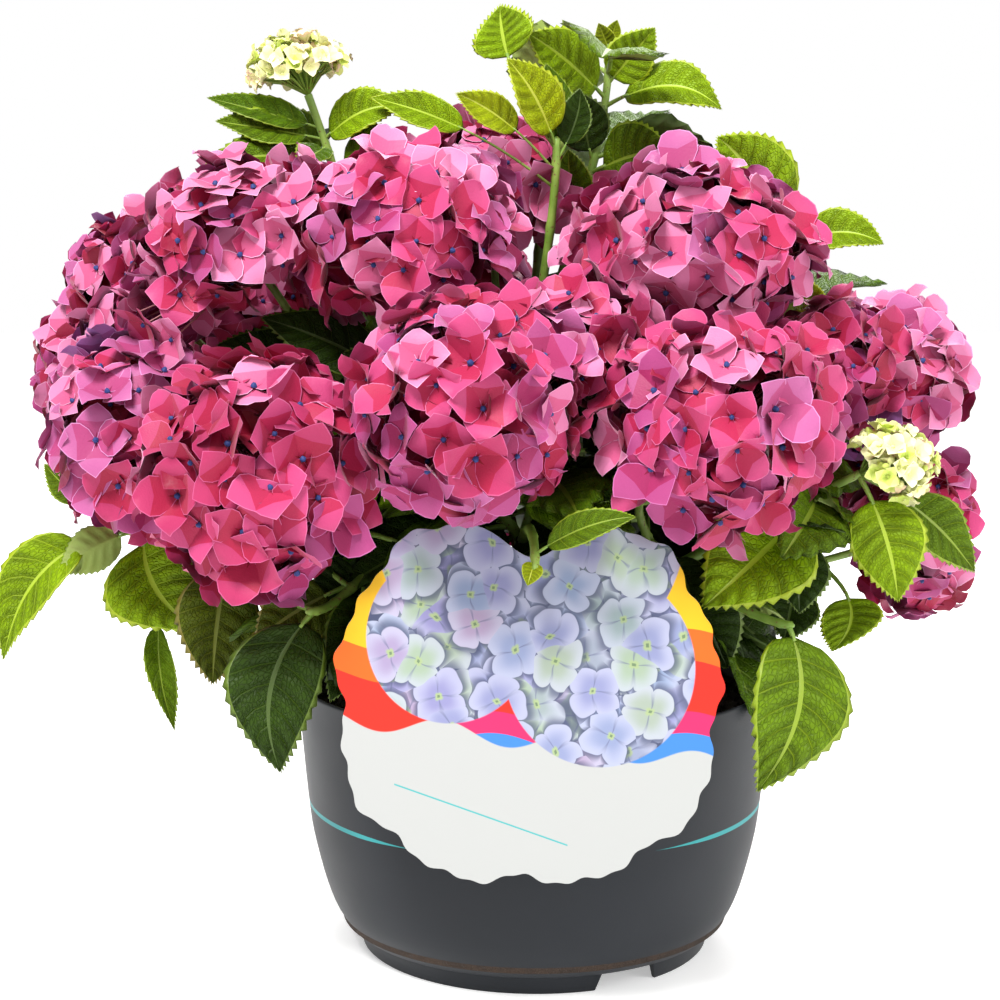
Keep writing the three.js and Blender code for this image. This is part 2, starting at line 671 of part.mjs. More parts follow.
function makeMasses(fixedSolids) {
  const masses = {};
  for (const [cane, { fork, knob }] of Object.entries(canes)) {
    const stem = new THREE.LineCurve3(fork, knob);
    const swelling = new THREE.IcosahedronGeometry(FORK_KNOB_RADIUS, 0).translate(...knob);
    masses[cane] = limb(stem, CANE_TIP_RADIUS, CANE_TIP_RADIUS, SHOOT_SIDES, 1)
      .add(solidOf(swelling));
  }
  for (const { cane, curve } of Object.values(shoots)) {
    const shoot = limb(curve, SHOOT_FOOT_RADIUS, SHOOT_TIP_RADIUS, SHOOT_SIDES, SHOOT_STEPS);
    masses[cane] = masses[cane].add(shoot);
  }
  for (const [shootName, rows] of Object.entries(LEADING_LEAVES)) {
    const leaves = rows.map(([place, ...row]) => [place, row]);
    addLeaves(masses, fixedSolids, shootName, leaves, LEAF_STATIONS);
  }
  Object.keys(shoots).forEach((shootName, number) => {
    addLeaves(masses, fixedSolids, shootName, pairLeaves(shootName, number), PAIR_LEAF_STATIONS);
  });
  return masses;
}

// ---------------------------------------------------------------- the whole plant

const pot = makePot();
const soil = makeSoil();
const card = makeCard();
const crown = makeCrown(0);
const caneSolids = Object.entries(canes).map(([name, cane]) => [name, makeCane(cane)]);
const bloomSolids = bloomHeads.map(([name]) => [name, makeHead(name, BLOOM_DETAIL)]);
const unripeSolids = unripeHeads.map(([name]) => [name, makeHead(name, UNRIPE_DETAIL)]);
const fixedSolids = [pot, soil, card, crown];
for (const named of [caneSolids, bloomSolids, unripeSolids]) {
  fixedSolids.push(...named.map(([, solid]) => solid));
}
const masses = makeMasses(fixedSolids);

const group = new THREE.Group();
group.add(pieceOf('pot', pot, potPlastic));
group.add(pieceOf('soil', soil, soilCrumb));
group.add(pieceOf('label_card', card, cardStock));
group.add(pieceOf('woody_crown', crown, bark));
for (const [name, solid] of caneSolids) group.add(pieceOf(`cane_${name}`, solid, bark));
for (const [name, solid] of Object.entries(masses)) {
  group.add(pieceOf(`foliage_${name}`, solid, leafGreen));
}
for (const [name, solid] of bloomSolids) group.add(pieceOf(`bloom_${name}`, solid, petalPink));
for (const [name, solid] of unripeSolids) group.add(pieceOf(`head_${name}`, solid, unripeCream));

export default group;
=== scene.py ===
# %% [markdown]
# # A mophead hydrangea in its nursery pot
# The plant grows by one rule. A woody crown on the soil carries canes, each cane forks
# into shoots, and each shoot ends in a flower head, an unripe head or a leafy tip. Leaves
# stand in opposite pairs along the shoots. Round it is a dark plastic pot with a die-cut
# card over its rim.
#
# The imported CAD model is the fixed frame: every piece here takes the place of one of its
# solids, in the same metres. Sizes below are millimetres, and one helper turns them into
# metres when a mesh is made. We keep the box of the solids at once, to hold leaves and
# seats in it.

# %% Load the frame
import math

import bmesh
import bpy
import numpy as np
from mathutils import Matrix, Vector


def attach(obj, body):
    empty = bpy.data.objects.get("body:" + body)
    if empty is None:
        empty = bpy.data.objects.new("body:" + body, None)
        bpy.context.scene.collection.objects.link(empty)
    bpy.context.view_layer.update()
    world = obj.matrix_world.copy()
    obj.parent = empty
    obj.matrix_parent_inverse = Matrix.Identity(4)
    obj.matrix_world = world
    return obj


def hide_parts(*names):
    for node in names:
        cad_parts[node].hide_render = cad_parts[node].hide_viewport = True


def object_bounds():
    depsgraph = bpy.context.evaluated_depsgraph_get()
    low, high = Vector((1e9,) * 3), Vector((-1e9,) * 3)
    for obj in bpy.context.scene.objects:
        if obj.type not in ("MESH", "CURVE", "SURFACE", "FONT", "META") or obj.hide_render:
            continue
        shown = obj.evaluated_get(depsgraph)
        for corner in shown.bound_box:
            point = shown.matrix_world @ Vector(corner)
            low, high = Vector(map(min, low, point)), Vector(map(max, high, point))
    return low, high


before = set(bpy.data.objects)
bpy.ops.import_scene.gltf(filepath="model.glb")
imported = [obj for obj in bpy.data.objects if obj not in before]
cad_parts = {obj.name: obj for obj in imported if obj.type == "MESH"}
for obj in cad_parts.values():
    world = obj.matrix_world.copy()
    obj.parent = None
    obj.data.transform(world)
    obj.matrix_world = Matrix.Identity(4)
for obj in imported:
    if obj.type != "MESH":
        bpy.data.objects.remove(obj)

cad_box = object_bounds()
MM = 0.001
print("solids", len(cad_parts), "box", [round(v, 3) for v in (*cad_box[0], *cad_box[1])])

# %% [markdown]
# ## Camera and light
# A product camera stands a little above the plant and looks slightly down. A long lens
# keeps the pot's sides nearly upright. The light is a white room with three soft lamps: a
# bright one in front on the left, a weak one on the right that opens the shadows, and one
# behind for the rims of the petals. The room is seen as pure white but shines less than
# that, so that the shadows between the petals stay deep.

# %% Camera
CAMERA_PLACE = (-0.020, -1.33, 0.471)
CAMERA_DOWN = 9.1  # degrees below the horizon
CAMERA_LENS = 84.74

camera = bpy.data.objects.new("camera", bpy.data.cameras.new("camera"))
camera.location = CAMERA_PLACE
camera.rotation_euler = (math.radians(90 - CAMERA_DOWN), 0, 0)
camera.data.lens = CAMERA_LENS
bpy.context.collection.objects.link(camera)
bpy.context.scene.camera = camera
print("camera", CAMERA_PLACE, "lens", CAMERA_LENS)

# %% Lamps and world
LAMPS = {  # place, width in metres, watts
    "key": ((-0.6, -1.2, 2.1), 0.7, 84),
    "fill": ((1.5, -0.9, 1.0), 1.0, 18),
    "back": ((0.4, 1.5, 1.6), 1.0, 30),
}
LAMPS_LOOK_AT = Vector((0, 0, 0.25))
SEEN_WHITE = 1.0
FILL_STRENGTH = 0.62


def lamp(name, place, width, watts):
    """A square soft lamp that looks at the middle of the plant."""
    light = bpy.data.lights.new(name, "AREA")
    light.size = width
    light.energy = watts
    holder = bpy.data.objects.new(name, light)
    holder.location = place
    towards = LAMPS_LOOK_AT - Vector(place)
    holder.rotation_euler = towards.to_track_quat("-Z", "Y").to_euler()
    bpy.context.collection.objects.link(holder)


for lamp_name, row in LAMPS.items():
    lamp(lamp_name, *row)

world = bpy.data.worlds.new("white_room")
world.use_nodes = True
backdrop = world.node_tree.nodes["Background"]
backdrop.inputs["Color"].default_value = (1, 1, 1, 1)
seen = world.node_tree.nodes.new("ShaderNodeLightPath").outputs["Is Camera Ray"]
strength = world.node_tree.nodes.new("ShaderNodeMapRange")
strength.inputs["To Min"].default_value = FILL_STRENGTH
strength.inputs["To Max"].default_value = SEEN_WHITE
world.node_tree.links.new(seen, strength.inputs["Value"])
world.node_tree.links.new(strength.outputs[0], backdrop.inputs["Strength"])
bpy.context.scene.world = world
bpy.context.scene.view_settings.view_transform = "Standard"
print("lamps", list(LAMPS), "world's fill", FILL_STRENGTH)

# %% [markdown]
# ## Finishes
# Each finish is a small node tree round one Principled shader. A few helpers keep the
# trees short: one turns a familiar 0-255 colour into Blender's linear light, one adds a
# node and plugs in its inputs by name, one makes the material and one gives it a grain.
# What is the same all over a surface is set on the shader itself.


# %% Material helpers
def colour(red, green, blue):
    """A linear colour from 0-255 display values."""
    display = [v / 255 for v in (red, green, blue)]
    return (*[v / 12.92 if v <= 0.04045 else ((v + 0.055) / 1.055) ** 2.4 for v in display], 1)


def plug(tree, socket, value):
    """Links a node's output to a socket, or sets the socket to a plain value."""
    if isinstance(value, bpy.types.NodeSocket):
        tree.links.new(value, socket)
    else:
        socket.default_value = value


def node(tree, kind, values=(), **settings):
    """Adds a node, with its settings, and plugs its inputs in order or by name."""
    made = tree.nodes.new(kind)
    for key, value in settings.items():
        setattr(made, key, value)
    pairs = values.items() if isinstance(values, dict) else enumerate(values)
    for key, value in pairs:
        plug(tree, made.inputs[key], value)
    return made


def maths(tree, operation, *values):
    return node(tree, "ShaderNodeMath", values, operation=operation).outputs[0]


def blend(tree, share, first, second):
    """A colour between two colours."""
    mix = node(tree, "ShaderNodeMix", {0: share, 6: first, 7: second}, data_type="RGBA")
    return mix.outputs[2]


def ramp(tree, value, low, high):
    """0 below low, 1 above high, and smooth between."""
    return node(tree, "ShaderNodeMapRange", (value, low, high, 0.0, 1.0),
                interpolation_type="SMOOTHSTEP").outputs[0]


def finish_of(name, base, roughness, **sockets):
    """A material and its shader. Extra sockets are named with underscores for spaces."""
    made = bpy.data.materials.new(name)
    made.use_nodes = True
    made.diffuse_color = base
    shader = made.node_tree.nodes["Principled BSDF"]
    shader.inputs["Base Color"].default_value = base
    shader.inputs["Roughness"].default_value = roughness
    for key, value in sockets.items():
        shader.inputs[key.replace("_", " ")].default_value = value
    return made, made.node_tree, shader


def object_place(tree):
    return node(tree, "ShaderNodeTexCoord").outputs["Object"]


def noise(tree, place, scale, detail=3.0, rough=0.55):
    return node(tree, "ShaderNodeTexNoise", {"Vector": place, "Scale": scale, "Detail": detail,
                                             "Roughness": rough}).outputs["Fac"]


def add_bump(tree, shader, height, strength, distance):
    """Relief in the finish. The distance is in metres."""
    bump = node(tree, "ShaderNodeBump", {"Height": height, "Strength": strength,
                                         "Distance": distance})
    tree.links.new(bump.outputs[0], shader.inputs["Normal"])


def add_grain(tree, shader, scale, strength, distance, detail=3.0):
    """Fine even relief all over a finish."""
    add_bump(tree, shader, noise(tree, object_place(tree), scale, detail), strength, distance)

# %% [markdown]
# ## Mesh helpers
# Most pieces are grids of points bent into shape, so one helper turns points in
# millimetres and faces into a Blender object, and another closes the book on a finished
# piece: it rides on the one body and stands for its solids.

# %% Mesh helpers
WELD_DISTANCE = 0.02
made_pieces = []


def linked(name, mesh):
    made = bpy.data.objects.new(name, mesh)
    bpy.context.collection.objects.link(made)
    return made


def shade_smooth(made, smooth=True):
    made.data.polygons.foreach_set("use_smooth", [smooth] * len(made.data.polygons))


def piece_of(name, points, faces, finishes, finish_numbers=None, maps=None, smooth=True):
    """A mesh object. Points are in millimetres and maps holds a (u, v) for each point."""
    mesh = bpy.data.meshes.new(name)
    mesh.from_pydata((np.asarray(points, float) * MM).tolist(), [], [list(f) for f in faces])
    for finish in finishes:
        mesh.materials.append(finish)
    if finish_numbers is not None:
        mesh.polygons.foreach_set("material_index", np.asarray(finish_numbers, np.int32))
    if maps is not None:
        corner = np.empty(len(mesh.loops), np.int32)
        mesh.loops.foreach_get("vertex_index", corner)
        layer = mesh.uv_layers.new(name="surface")
        layer.uv.foreach_set("vector", np.asarray(maps, np.float32)[corner].ravel())
    made = linked(name, mesh)
    shade_smooth(made, smooth)
    mesh.update()
    return made


def settle(piece, slot, *nodes):
    """Puts a finished piece on the one body and hides the solids that it stands for."""
    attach(piece, "root")
    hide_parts(*nodes)
    made_pieces.append(piece)
    print(piece.name, "faces", len(piece.data.polygons))


def baked(made):
    """The object's evaluated mesh as a plain mesh, with no modifier left on it."""
    evaluated = made.evaluated_get(bpy.context.evaluated_depsgraph_get())
    plain = bpy.data.meshes.new_from_object(evaluated)
    made.modifiers.clear()
    old = made.data
    made.data = plain
    plain.name = made.name
    bpy.data.meshes.remove(old)
    return made


def turned(profile, sides):
    """Points and faces of a profile of (radius, height) turned about +Z."""
    rings = np.asarray(profile, float)
    angle = np.arange(sides) * 2 * math.pi / sides
    spread = np.stack([np.outer(rings[:, 0], np.cos(angle)), np.outer(rings[:, 0], np.sin(angle)),
                       np.repeat(rings[:, 1:], sides, 1)], -1)
    faces = []
    for i in range(len(rings) - 1):
        for j in range(sides):
            k = (j + 1) % sides
            faces.append((i * sides + j, i * sides + k, (i + 1) * sides + k, (i + 1) * sides + j))
    return spread.reshape(-1, 3), faces


def welded(made):
    """Merges doubled points, such as a pole's, and turns the faces outwards."""
    work = bmesh.new()
    work.from_mesh(made.data)
    bmesh.ops.remove_doubles(work, verts=work.verts, dist=WELD_DISTANCE * MM)
    bmesh.ops.recalc_face_normals(work, faces=work.faces)
    work.to_mesh(made.data)
    work.free()
    return made

# %% [markdown]
# ## Floor
# The plant stands on a wide pale sheet. The sheet glows faintly, so that far off it is as
# white as the room and shows no edge, while the pot still lays a soft shadow on it.

# %% Floor
FLOOR_SIZE = 8.0  # metres
FLOOR_GLOW = 0.42

floor_finish, floor_tree, floor_shader = finish_of(
    "pale_floor", colour(244, 244, 243), 0.6, Emission_Color=(1, 1, 1, 1),
    Emission_Strength=FLOOR_GLOW)
add_grain(floor_tree, floor_shader, 30, 0.02, 0.001)
half = FLOOR_SIZE / 2 / MM
floor = piece_of("floor", [(-half, -half, 0), (half, -half, 0), (half, half, 0), (-half, half, 0)],
                 [(0, 1, 2, 3)], [floor_finish])

# %% [markdown]
# ## Pot
# The pot is thin injection-moulded plastic: a low foot ring with two drain notches, a
# small ledge, a round lower wall and an almost straight upper wall up to a rounded lip. It
# is one profile turned about the upright axis. Turning a profile keeps the wall's
# thickness true, and the notches are then cut with two plain blocks.
#
# The plastic is dark grey and half matt, with a fine moulded grain. A thin printed line
# runs round it and thins out towards the front, where the place stays bare.

# %% Pot shape
POT_HEIGHT = 157
POT_WALL = 2.2
POT_SIDES = 144
POT_OUTSIDE = [(100.5, 0), (103, 10.8), (106.2, 11.4), (112, 18), (117.6, 28), (123.2, 45),
               (128.6, 68), (131, 86), (133.8, 115), (137.3, 157)]
POT_LEDGE = [(102.8, 10.2), (103.3, 10.9), (105.8, 11.2), (106.4, 11.7)]
POT_LIP = [(137.3, 155.6), (137.25, 156.4), (136.9, 156.9), (136.2, 157), (135.5, 156.8),
           (135.15, 156.2)]
POT_INSIDE_HEIGHTS = (86, 45)  # from the rim down
FOOT_RING_WALL = 3
FOOT_ROUNDING = 0.5
FLOOR_UNDERSIDE = 11.6
FLOOR_TOP = 14.6
PAD_RADIUS = 28
PAD_ROUNDING = 0.8
WALL_STEPS = 3  # rings from one point of the wall's line to the next


def pot_radius(height):
    """Radius of the pot's outside at a height."""
    radii, heights = np.array(POT_OUTSIDE).T
    return float(np.interp(height, heights, radii))


def eased(profile, steps):
    """The same profile with a rounded line through its points."""
    line = np.asarray(profile, float)
    ends = np.vstack([2 * line[0] - line[1], line, 2 * line[-1] - line[-2]])
    out = []
    for i in range(1, len(ends) - 2):
        a, b, c, d = ends[i - 1:i + 3]
        for s in np.arange(steps) / steps:
            out.append(0.5 * (2 * b + (c - a) * s + (2 * a - 5 * b + 4 * c - d) * s * s
                              + (3 * b - a - 3 * c + d) * s ** 3))
    return [*out, line[-1]]


foot_outside = POT_OUTSIDE[0][0]
foot_inside = foot_outside - FOOT_RING_WALL
floor_inside = pot_radius(FLOOR_TOP) - POT_WALL
pot_profile = [
    (0, 0), (PAD_RADIUS - PAD_ROUNDING, 0), (PAD_RADIUS, PAD_ROUNDING),
    (PAD_RADIUS, FLOOR_UNDERSIDE), (foot_inside, FLOOR_UNDERSIDE), (foot_inside, FOOT_ROUNDING),
    (foot_inside + FOOT_ROUNDING, 0), (foot_outside - FOOT_ROUNDING, 0),
    (foot_outside, FOOT_ROUNDING), *POT_LEDGE,
    *eased([(107.3, 12.6), *POT_OUTSIDE[3:-1], (137.15, 155)], WALL_STEPS), *POT_LIP,
    *[(pot_radius(h) - POT_WALL, h) for h in POT_INSIDE_HEIGHTS],
    (floor_inside - 1, FLOOR_TOP + 1), (floor_inside - 3, FLOOR_TOP), (0, FLOOR_TOP),
]
pot_points, pot_faces = turned(pot_profile, POT_SIDES)
print("pot rings", len(pot_profile), "of", POT_SIDES, "points")

# %% Pot finish
POT_GREYS = ((25, 28, 32), (31, 34, 39))
POT_ROUGHNESS = (0.36, 0.52)
STRIPE_COLOUR = (48, 138, 140)
STRIPE_HEIGHT = 86
STRIPE_HALF_WIDTH = 1.3
STRIPE_FADE = (0.49, 0.86)  # bearings from the front, in radians, where it starts and is full
STRIPE_MIN_RADIUS = 129.6  # only the outside of the wall comes out this far


def pot_finish():
    made, tree, shader = finish_of("pot_plastic", colour(27, 30, 34), 0.38,
                                   Specular_IOR_Level=0.17)
    place = object_place(tree)
    x, y, z = node(tree, "ShaderNodeSeparateXYZ", (place,)).outputs
    plastic = blend(tree, noise(tree, place, 9.0, 4.0), *[colour(*tone) for tone in POT_GREYS])
    bearing = maths(tree, "ABSOLUTE", maths(tree, "ARCTAN2", x, maths(tree, "MULTIPLY", y, -1.0)))
    width = maths(tree, "MULTIPLY", ramp(tree, bearing, *STRIPE_FADE), STRIPE_HALF_WIDTH * MM)
    away = maths(tree, "ABSOLUTE", maths(tree, "SUBTRACT", z, STRIPE_HEIGHT * MM))
    on_line = maths(tree, "LESS_THAN", away, width)
    radius = maths(tree, "SQRT", maths(tree, "ADD", maths(tree, "MULTIPLY", x, x),
                                       maths(tree, "MULTIPLY", y, y)))
    outside = maths(tree, "GREATER_THAN", radius, STRIPE_MIN_RADIUS * MM)
    painted = maths(tree, "MULTIPLY", on_line, outside)
    plug(tree, shader.inputs["Base Color"], blend(tree, painted, plastic, colour(*STRIPE_COLOUR)))
    rough = node(tree, "ShaderNodeMapRange", (noise(tree, place, 14.0), 0.0, 1.0, *POT_ROUGHNESS))
    plug(tree, shader.inputs["Roughness"], rough.outputs[0])
    add_grain(tree, shader, 1400.0, 0.12, 0.0004, 2.0)
    return made

# %% Pot with its notches
NOTCH_BEARINGS = (30, 210)  # degrees from the front towards +X
NOTCH_WIDTHS = ((40, -1), (34, 10))  # a width and its height, below the foot and at the top
NOTCH_CUT = (-10, 20)  # from the foot ring's inside, inwards and outwards
NOTCH_SIDES = [(0, 2, 3, 1), (4, 5, 7, 6), (0, 1, 5, 4), (2, 6, 7, 3), (0, 4, 6, 2), (1, 3, 7, 5)]
POT_SHARP_ANGLE = 38  # degrees


def notch_block(bearing):
    """A block that cuts one notch through the foot ring."""
    turn = math.radians(bearing)
    outwards = np.array([math.sin(turn), -math.cos(turn), 0])
    across = np.array([math.cos(turn), math.sin(turn), 0])
    corners = [(side * w / 2, h) for w, h in NOTCH_WIDTHS for side in (-1, 1)]
    points = [outwards * (foot_inside + reach) + across * a + (0, 0, h)
              for reach in NOTCH_CUT for a, h in corners]
    return welded(piece_of(f"notch_{bearing}", points, NOTCH_SIDES, [], smooth=False))


pot = welded(piece_of("pot_shell", pot_points, pot_faces, [pot_finish()]))
notch_blocks = [notch_block(bearing) for bearing in NOTCH_BEARINGS]
for block in notch_blocks:
    cut = pot.modifiers.new("notch", "BOOLEAN")
    cut.object = block
    cut.solver = "EXACT"
baked(pot)
for block in notch_blocks:
    bpy.data.objects.remove(block)
shade_smooth(pot)
pot.data.set_sharp_from_angle(angle=math.radians(POT_SHARP_ANGLE))
settle(pot, "pot_plastic", "pot")

# %% [markdown]
# ## Soil
# The soil is a low mound of dark crumbs. The mound is one turned profile, a hair inside
# the pot's wall. The crumbs repeat by the hundred, so a Geometry Nodes tree scatters one
# small stone of twenty faces over the mound's top, turns and sizes each by a fixed seed,
# and turns the copies into real faces at the end.


# %% Geometry Nodes helpers
def tree_of(name, inputs):
    """An empty Geometry Nodes tree with named inputs: (name, socket type, default)."""
    tree = bpy.data.node_groups.new(name, "GeometryNodeTree")
    face = tree.interface
    face.new_socket("Geometry", in_out="INPUT", socket_type="NodeSocketGeometry")
    for label, kind, default in inputs:
        socket = face.new_socket(label, in_out="INPUT", socket_type=kind)
        if default is not None:
            socket.default_value = default
    face.new_socket("Geometry", in_out="OUTPUT", socket_type="NodeSocketGeometry")
    return tree, tree.nodes.new("NodeGroupInput"), tree.nodes.new("NodeGroupOutput")


def grow_with(made, tree, values):
    """Puts a tree on an object, with its inputs set by socket identifier, and applies it."""
    modifier = made.modifiers.new(tree.name, "NODES")
    modifier.node_group = tree
    for item in tree.interface.items_tree:
        if item.in_out == "INPUT" and item.name in values:
            modifier[item.identifier] = values[item.name]
    return baked(made)


def dressed(tree, geometry, finish, out):
    """The end of a tree: its copies made real, and one finish on all of them."""
    real = node(tree, "GeometryNodeRealizeInstances", (geometry,))
    worn = node(tree, "GeometryNodeSetMaterial", {"Geometry": real.outputs[0],
                                                  "Material": finish})
    tree.links.new(worn.outputs[0], out.inputs[0])


def named(tree, name, kind):
    """The values that the points or faces carry under a name."""
    return node(tree, "GeometryNodeInputNamedAttribute", (name,), data_type=kind).outputs[0]

# %% Soil mound
SOIL_EDGE_HEIGHT = 140
SOIL_TOP_HEIGHT = 148
SOIL_TOP = [(110, 142), (85, 144.5), (60, 146.6), (40, SOIL_TOP_HEIGHT), (20, SOIL_TOP_HEIGHT),
            (0, SOIL_TOP_HEIGHT)]
SOIL_FOOT_RADIUS = 112
SOIL_SIDES = 96
SEAT_GAP = 0.3

soil_finish, soil_tree, soil_shader = finish_of("soil", colour(40, 29, 21), 1.0)
soil_tone = blend(soil_tree, noise(soil_tree, object_place(soil_tree), 160.0),
                  colour(24, 17, 13), colour(68, 50, 36))
plug(soil_tree, soil_shader.inputs["Base Color"], soil_tone)
add_grain(soil_tree, soil_shader, 700.0, 0.7, 0.002)

soil_foot = FLOOR_TOP + SEAT_GAP
soil_wall = [(pot_radius(h) - POT_WALL - 2 * SEAT_GAP, h)
             for h in (*POT_INSIDE_HEIGHTS[::-1], SOIL_EDGE_HEIGHT)]
soil_profile = [(0, soil_foot), (SOIL_FOOT_RADIUS, soil_foot + 1), *soil_wall, *SOIL_TOP]
mound = welded(piece_of("soil_mound", *turned(soil_profile, SOIL_SIDES), [soil_finish]))

# %% Soil crumbs
CRUMB_SIZE = 3.2
CRUMB_DENSITY = 26000.0  # for each square metre
CRUMB_LOWEST = 139  # only the top of the mound lies higher
CRUMB_SHARES = ((0.25, 0.25, 0.2), (1.0, 0.8, 0.6))  # smallest and largest, of the size
FULL_TURN = 6.28

crumb_tree, crumb_in, crumb_out = tree_of("scatter_crumbs", [
    ("Density", "NodeSocketFloat", CRUMB_DENSITY), ("Size", "NodeSocketFloat", CRUMB_SIZE * MM),
    ("Seed", "NodeSocketInt", 3), ("Lowest", "NodeSocketFloat", CRUMB_LOWEST * MM)])
place = node(crumb_tree, "GeometryNodeInputPosition").outputs[0]
height = node(crumb_tree, "ShaderNodeSeparateXYZ", (place,)).outputs[2]
upper = node(crumb_tree, "FunctionNodeCompare", (height, crumb_in.outputs["Lowest"]),
             operation="GREATER_THAN")
scattered = node(crumb_tree, "GeometryNodeDistributePointsOnFaces", {
    "Mesh": crumb_in.outputs[0], "Selection": upper.outputs[0],
    "Density": crumb_in.outputs["Density"], "Seed": crumb_in.outputs["Seed"]})
stone = node(crumb_tree, "GeometryNodeMeshIcoSphere", {"Radius": crumb_in.outputs["Size"]})
spin = node(crumb_tree, "FunctionNodeRandomValue", {1: (FULL_TURN,) * 3,
                                                    "Seed": crumb_in.outputs["Seed"]},
            data_type="FLOAT_VECTOR")
girth = node(crumb_tree, "FunctionNodeRandomValue", CRUMB_SHARES, data_type="FLOAT_VECTOR")
stones = node(crumb_tree, "GeometryNodeInstanceOnPoints", {
    "Points": scattered.outputs[0], "Instance": stone.outputs[0], "Rotation": spin.outputs[0],
    "Scale": girth.outputs[0]})
both = node(crumb_tree, "GeometryNodeJoinGeometry")
crumb_tree.links.new(stones.outputs[0], both.inputs[0])
crumb_tree.links.new(crumb_in.outputs[0], both.inputs[0])
dressed(crumb_tree, both.outputs[0], soil_finish, crumb_out)
settle(grow_with(mound, crumb_tree, {"Density": CRUMB_DENSITY}), "soil", "soil")

# %% [markdown]
# ## Label card
# The card is one die-cut sheet that hooks over the pot's rim on a narrow tongue and leans
# back a little. Its outline follows a rounded square with scallops, cut out of stiff board
# 0.8 mm thick. The print is plain node work on the object's own coordinates, which keeps it
# sharp at any size: pale four-lobed florets in lilac, blue and mint fill three circles,
# wavy bands in warm colours lie beside them, and below is bare white board with one thin
# rule. The back stays white.

# %% Card shape
CARD_THICKNESS = 0.8
CARD_LEAN = math.radians(14)
CARD_HALF = (99, 93)
CARD_MIDDLE = (-5, 176)  # x and height
CARD_TOP = 264
CARD_DIP = (-2, 18, 20)  # in the top edge: x, depth and half width
CARD_POINTS = 352
CARD_SQUARENESS = 2.4
CARD_WAVES = ((9, 2.2, 0.4), (17, 1.5, 1.1), (41, 0.7, 0.2))  # how many, depth, start
RIM_CLEARANCE = 0.1


def card_outline():
    """Points round the card's edge: x, and height above the pot's rim."""
    edge = []
    for turn in np.arange(CARD_POINTS) * 2 * math.pi / CARD_POINTS:
        across, up = math.cos(turn), math.sin(turn)
        reach = (abs(across / CARD_HALF[0]) ** CARD_SQUARENESS
                 + abs(up / CARD_HALF[1]) ** CARD_SQUARENESS) ** (-1 / CARD_SQUARENESS)
        reach += sum(depth * math.sin(n * turn + start) for n, depth, start in CARD_WAVES)
        across, up = across * reach, up * reach
        place, depth, half_width = CARD_DIP
        dip = depth * math.exp(-((across + CARD_MIDDLE[0] - place) / half_width) ** 2)
        up = min(up, CARD_TOP - CARD_MIDDLE[1] - dip)
        edge.append((across + CARD_MIDDLE[0], up + CARD_MIDDLE[1] - POT_HEIGHT))
    return edge


rim_front = -POT_OUTSIDE[-1][0] - SEAT_GAP - RIM_CLEARANCE
outline = card_outline()
count = len(outline)
back_face = [(x, rim_front + h * math.tan(CARD_LEAN), POT_HEIGHT + h) for x, h in outline]
step = CARD_THICKNESS / math.cos(CARD_LEAN)
front_face = [(x, y - step, z) for x, y, z in back_face]
card_points = [*front_face, *back_face]
card_faces = [tuple(range(count)), tuple(range(2 * count - 1, count - 1, -1))]
card_faces += [(i, count + i, count + (i + 1) % count, (i + 1) % count) for i in range(count)]
print("card's edge", count, "points")

# %% Card print: florets
PRINT_UNEVENNESS = 0.009
FLORET_LAYERS = ((0.0, 46.0, 0.78), (3.7, 43.0, 0.7), (8.1, 40.0, 0.6))  # shift, scale, reach
LOBE_DEPTH = 0.34
LILAC, ICE_BLUE, MINT, ROSY = (122, 118, 158), (118, 134, 160), (134, 150, 130), (144, 128, 154)
PALE_EDGE, VEIN_BLUE, LIME_EYE, GREEN_EYE = ((164, 166, 184), (84, 90, 118), (140, 156, 112),
                                             (92, 112, 84))
DEEP_GREY, SHADE_GREY = (58, 66, 92), (56, 62, 88)


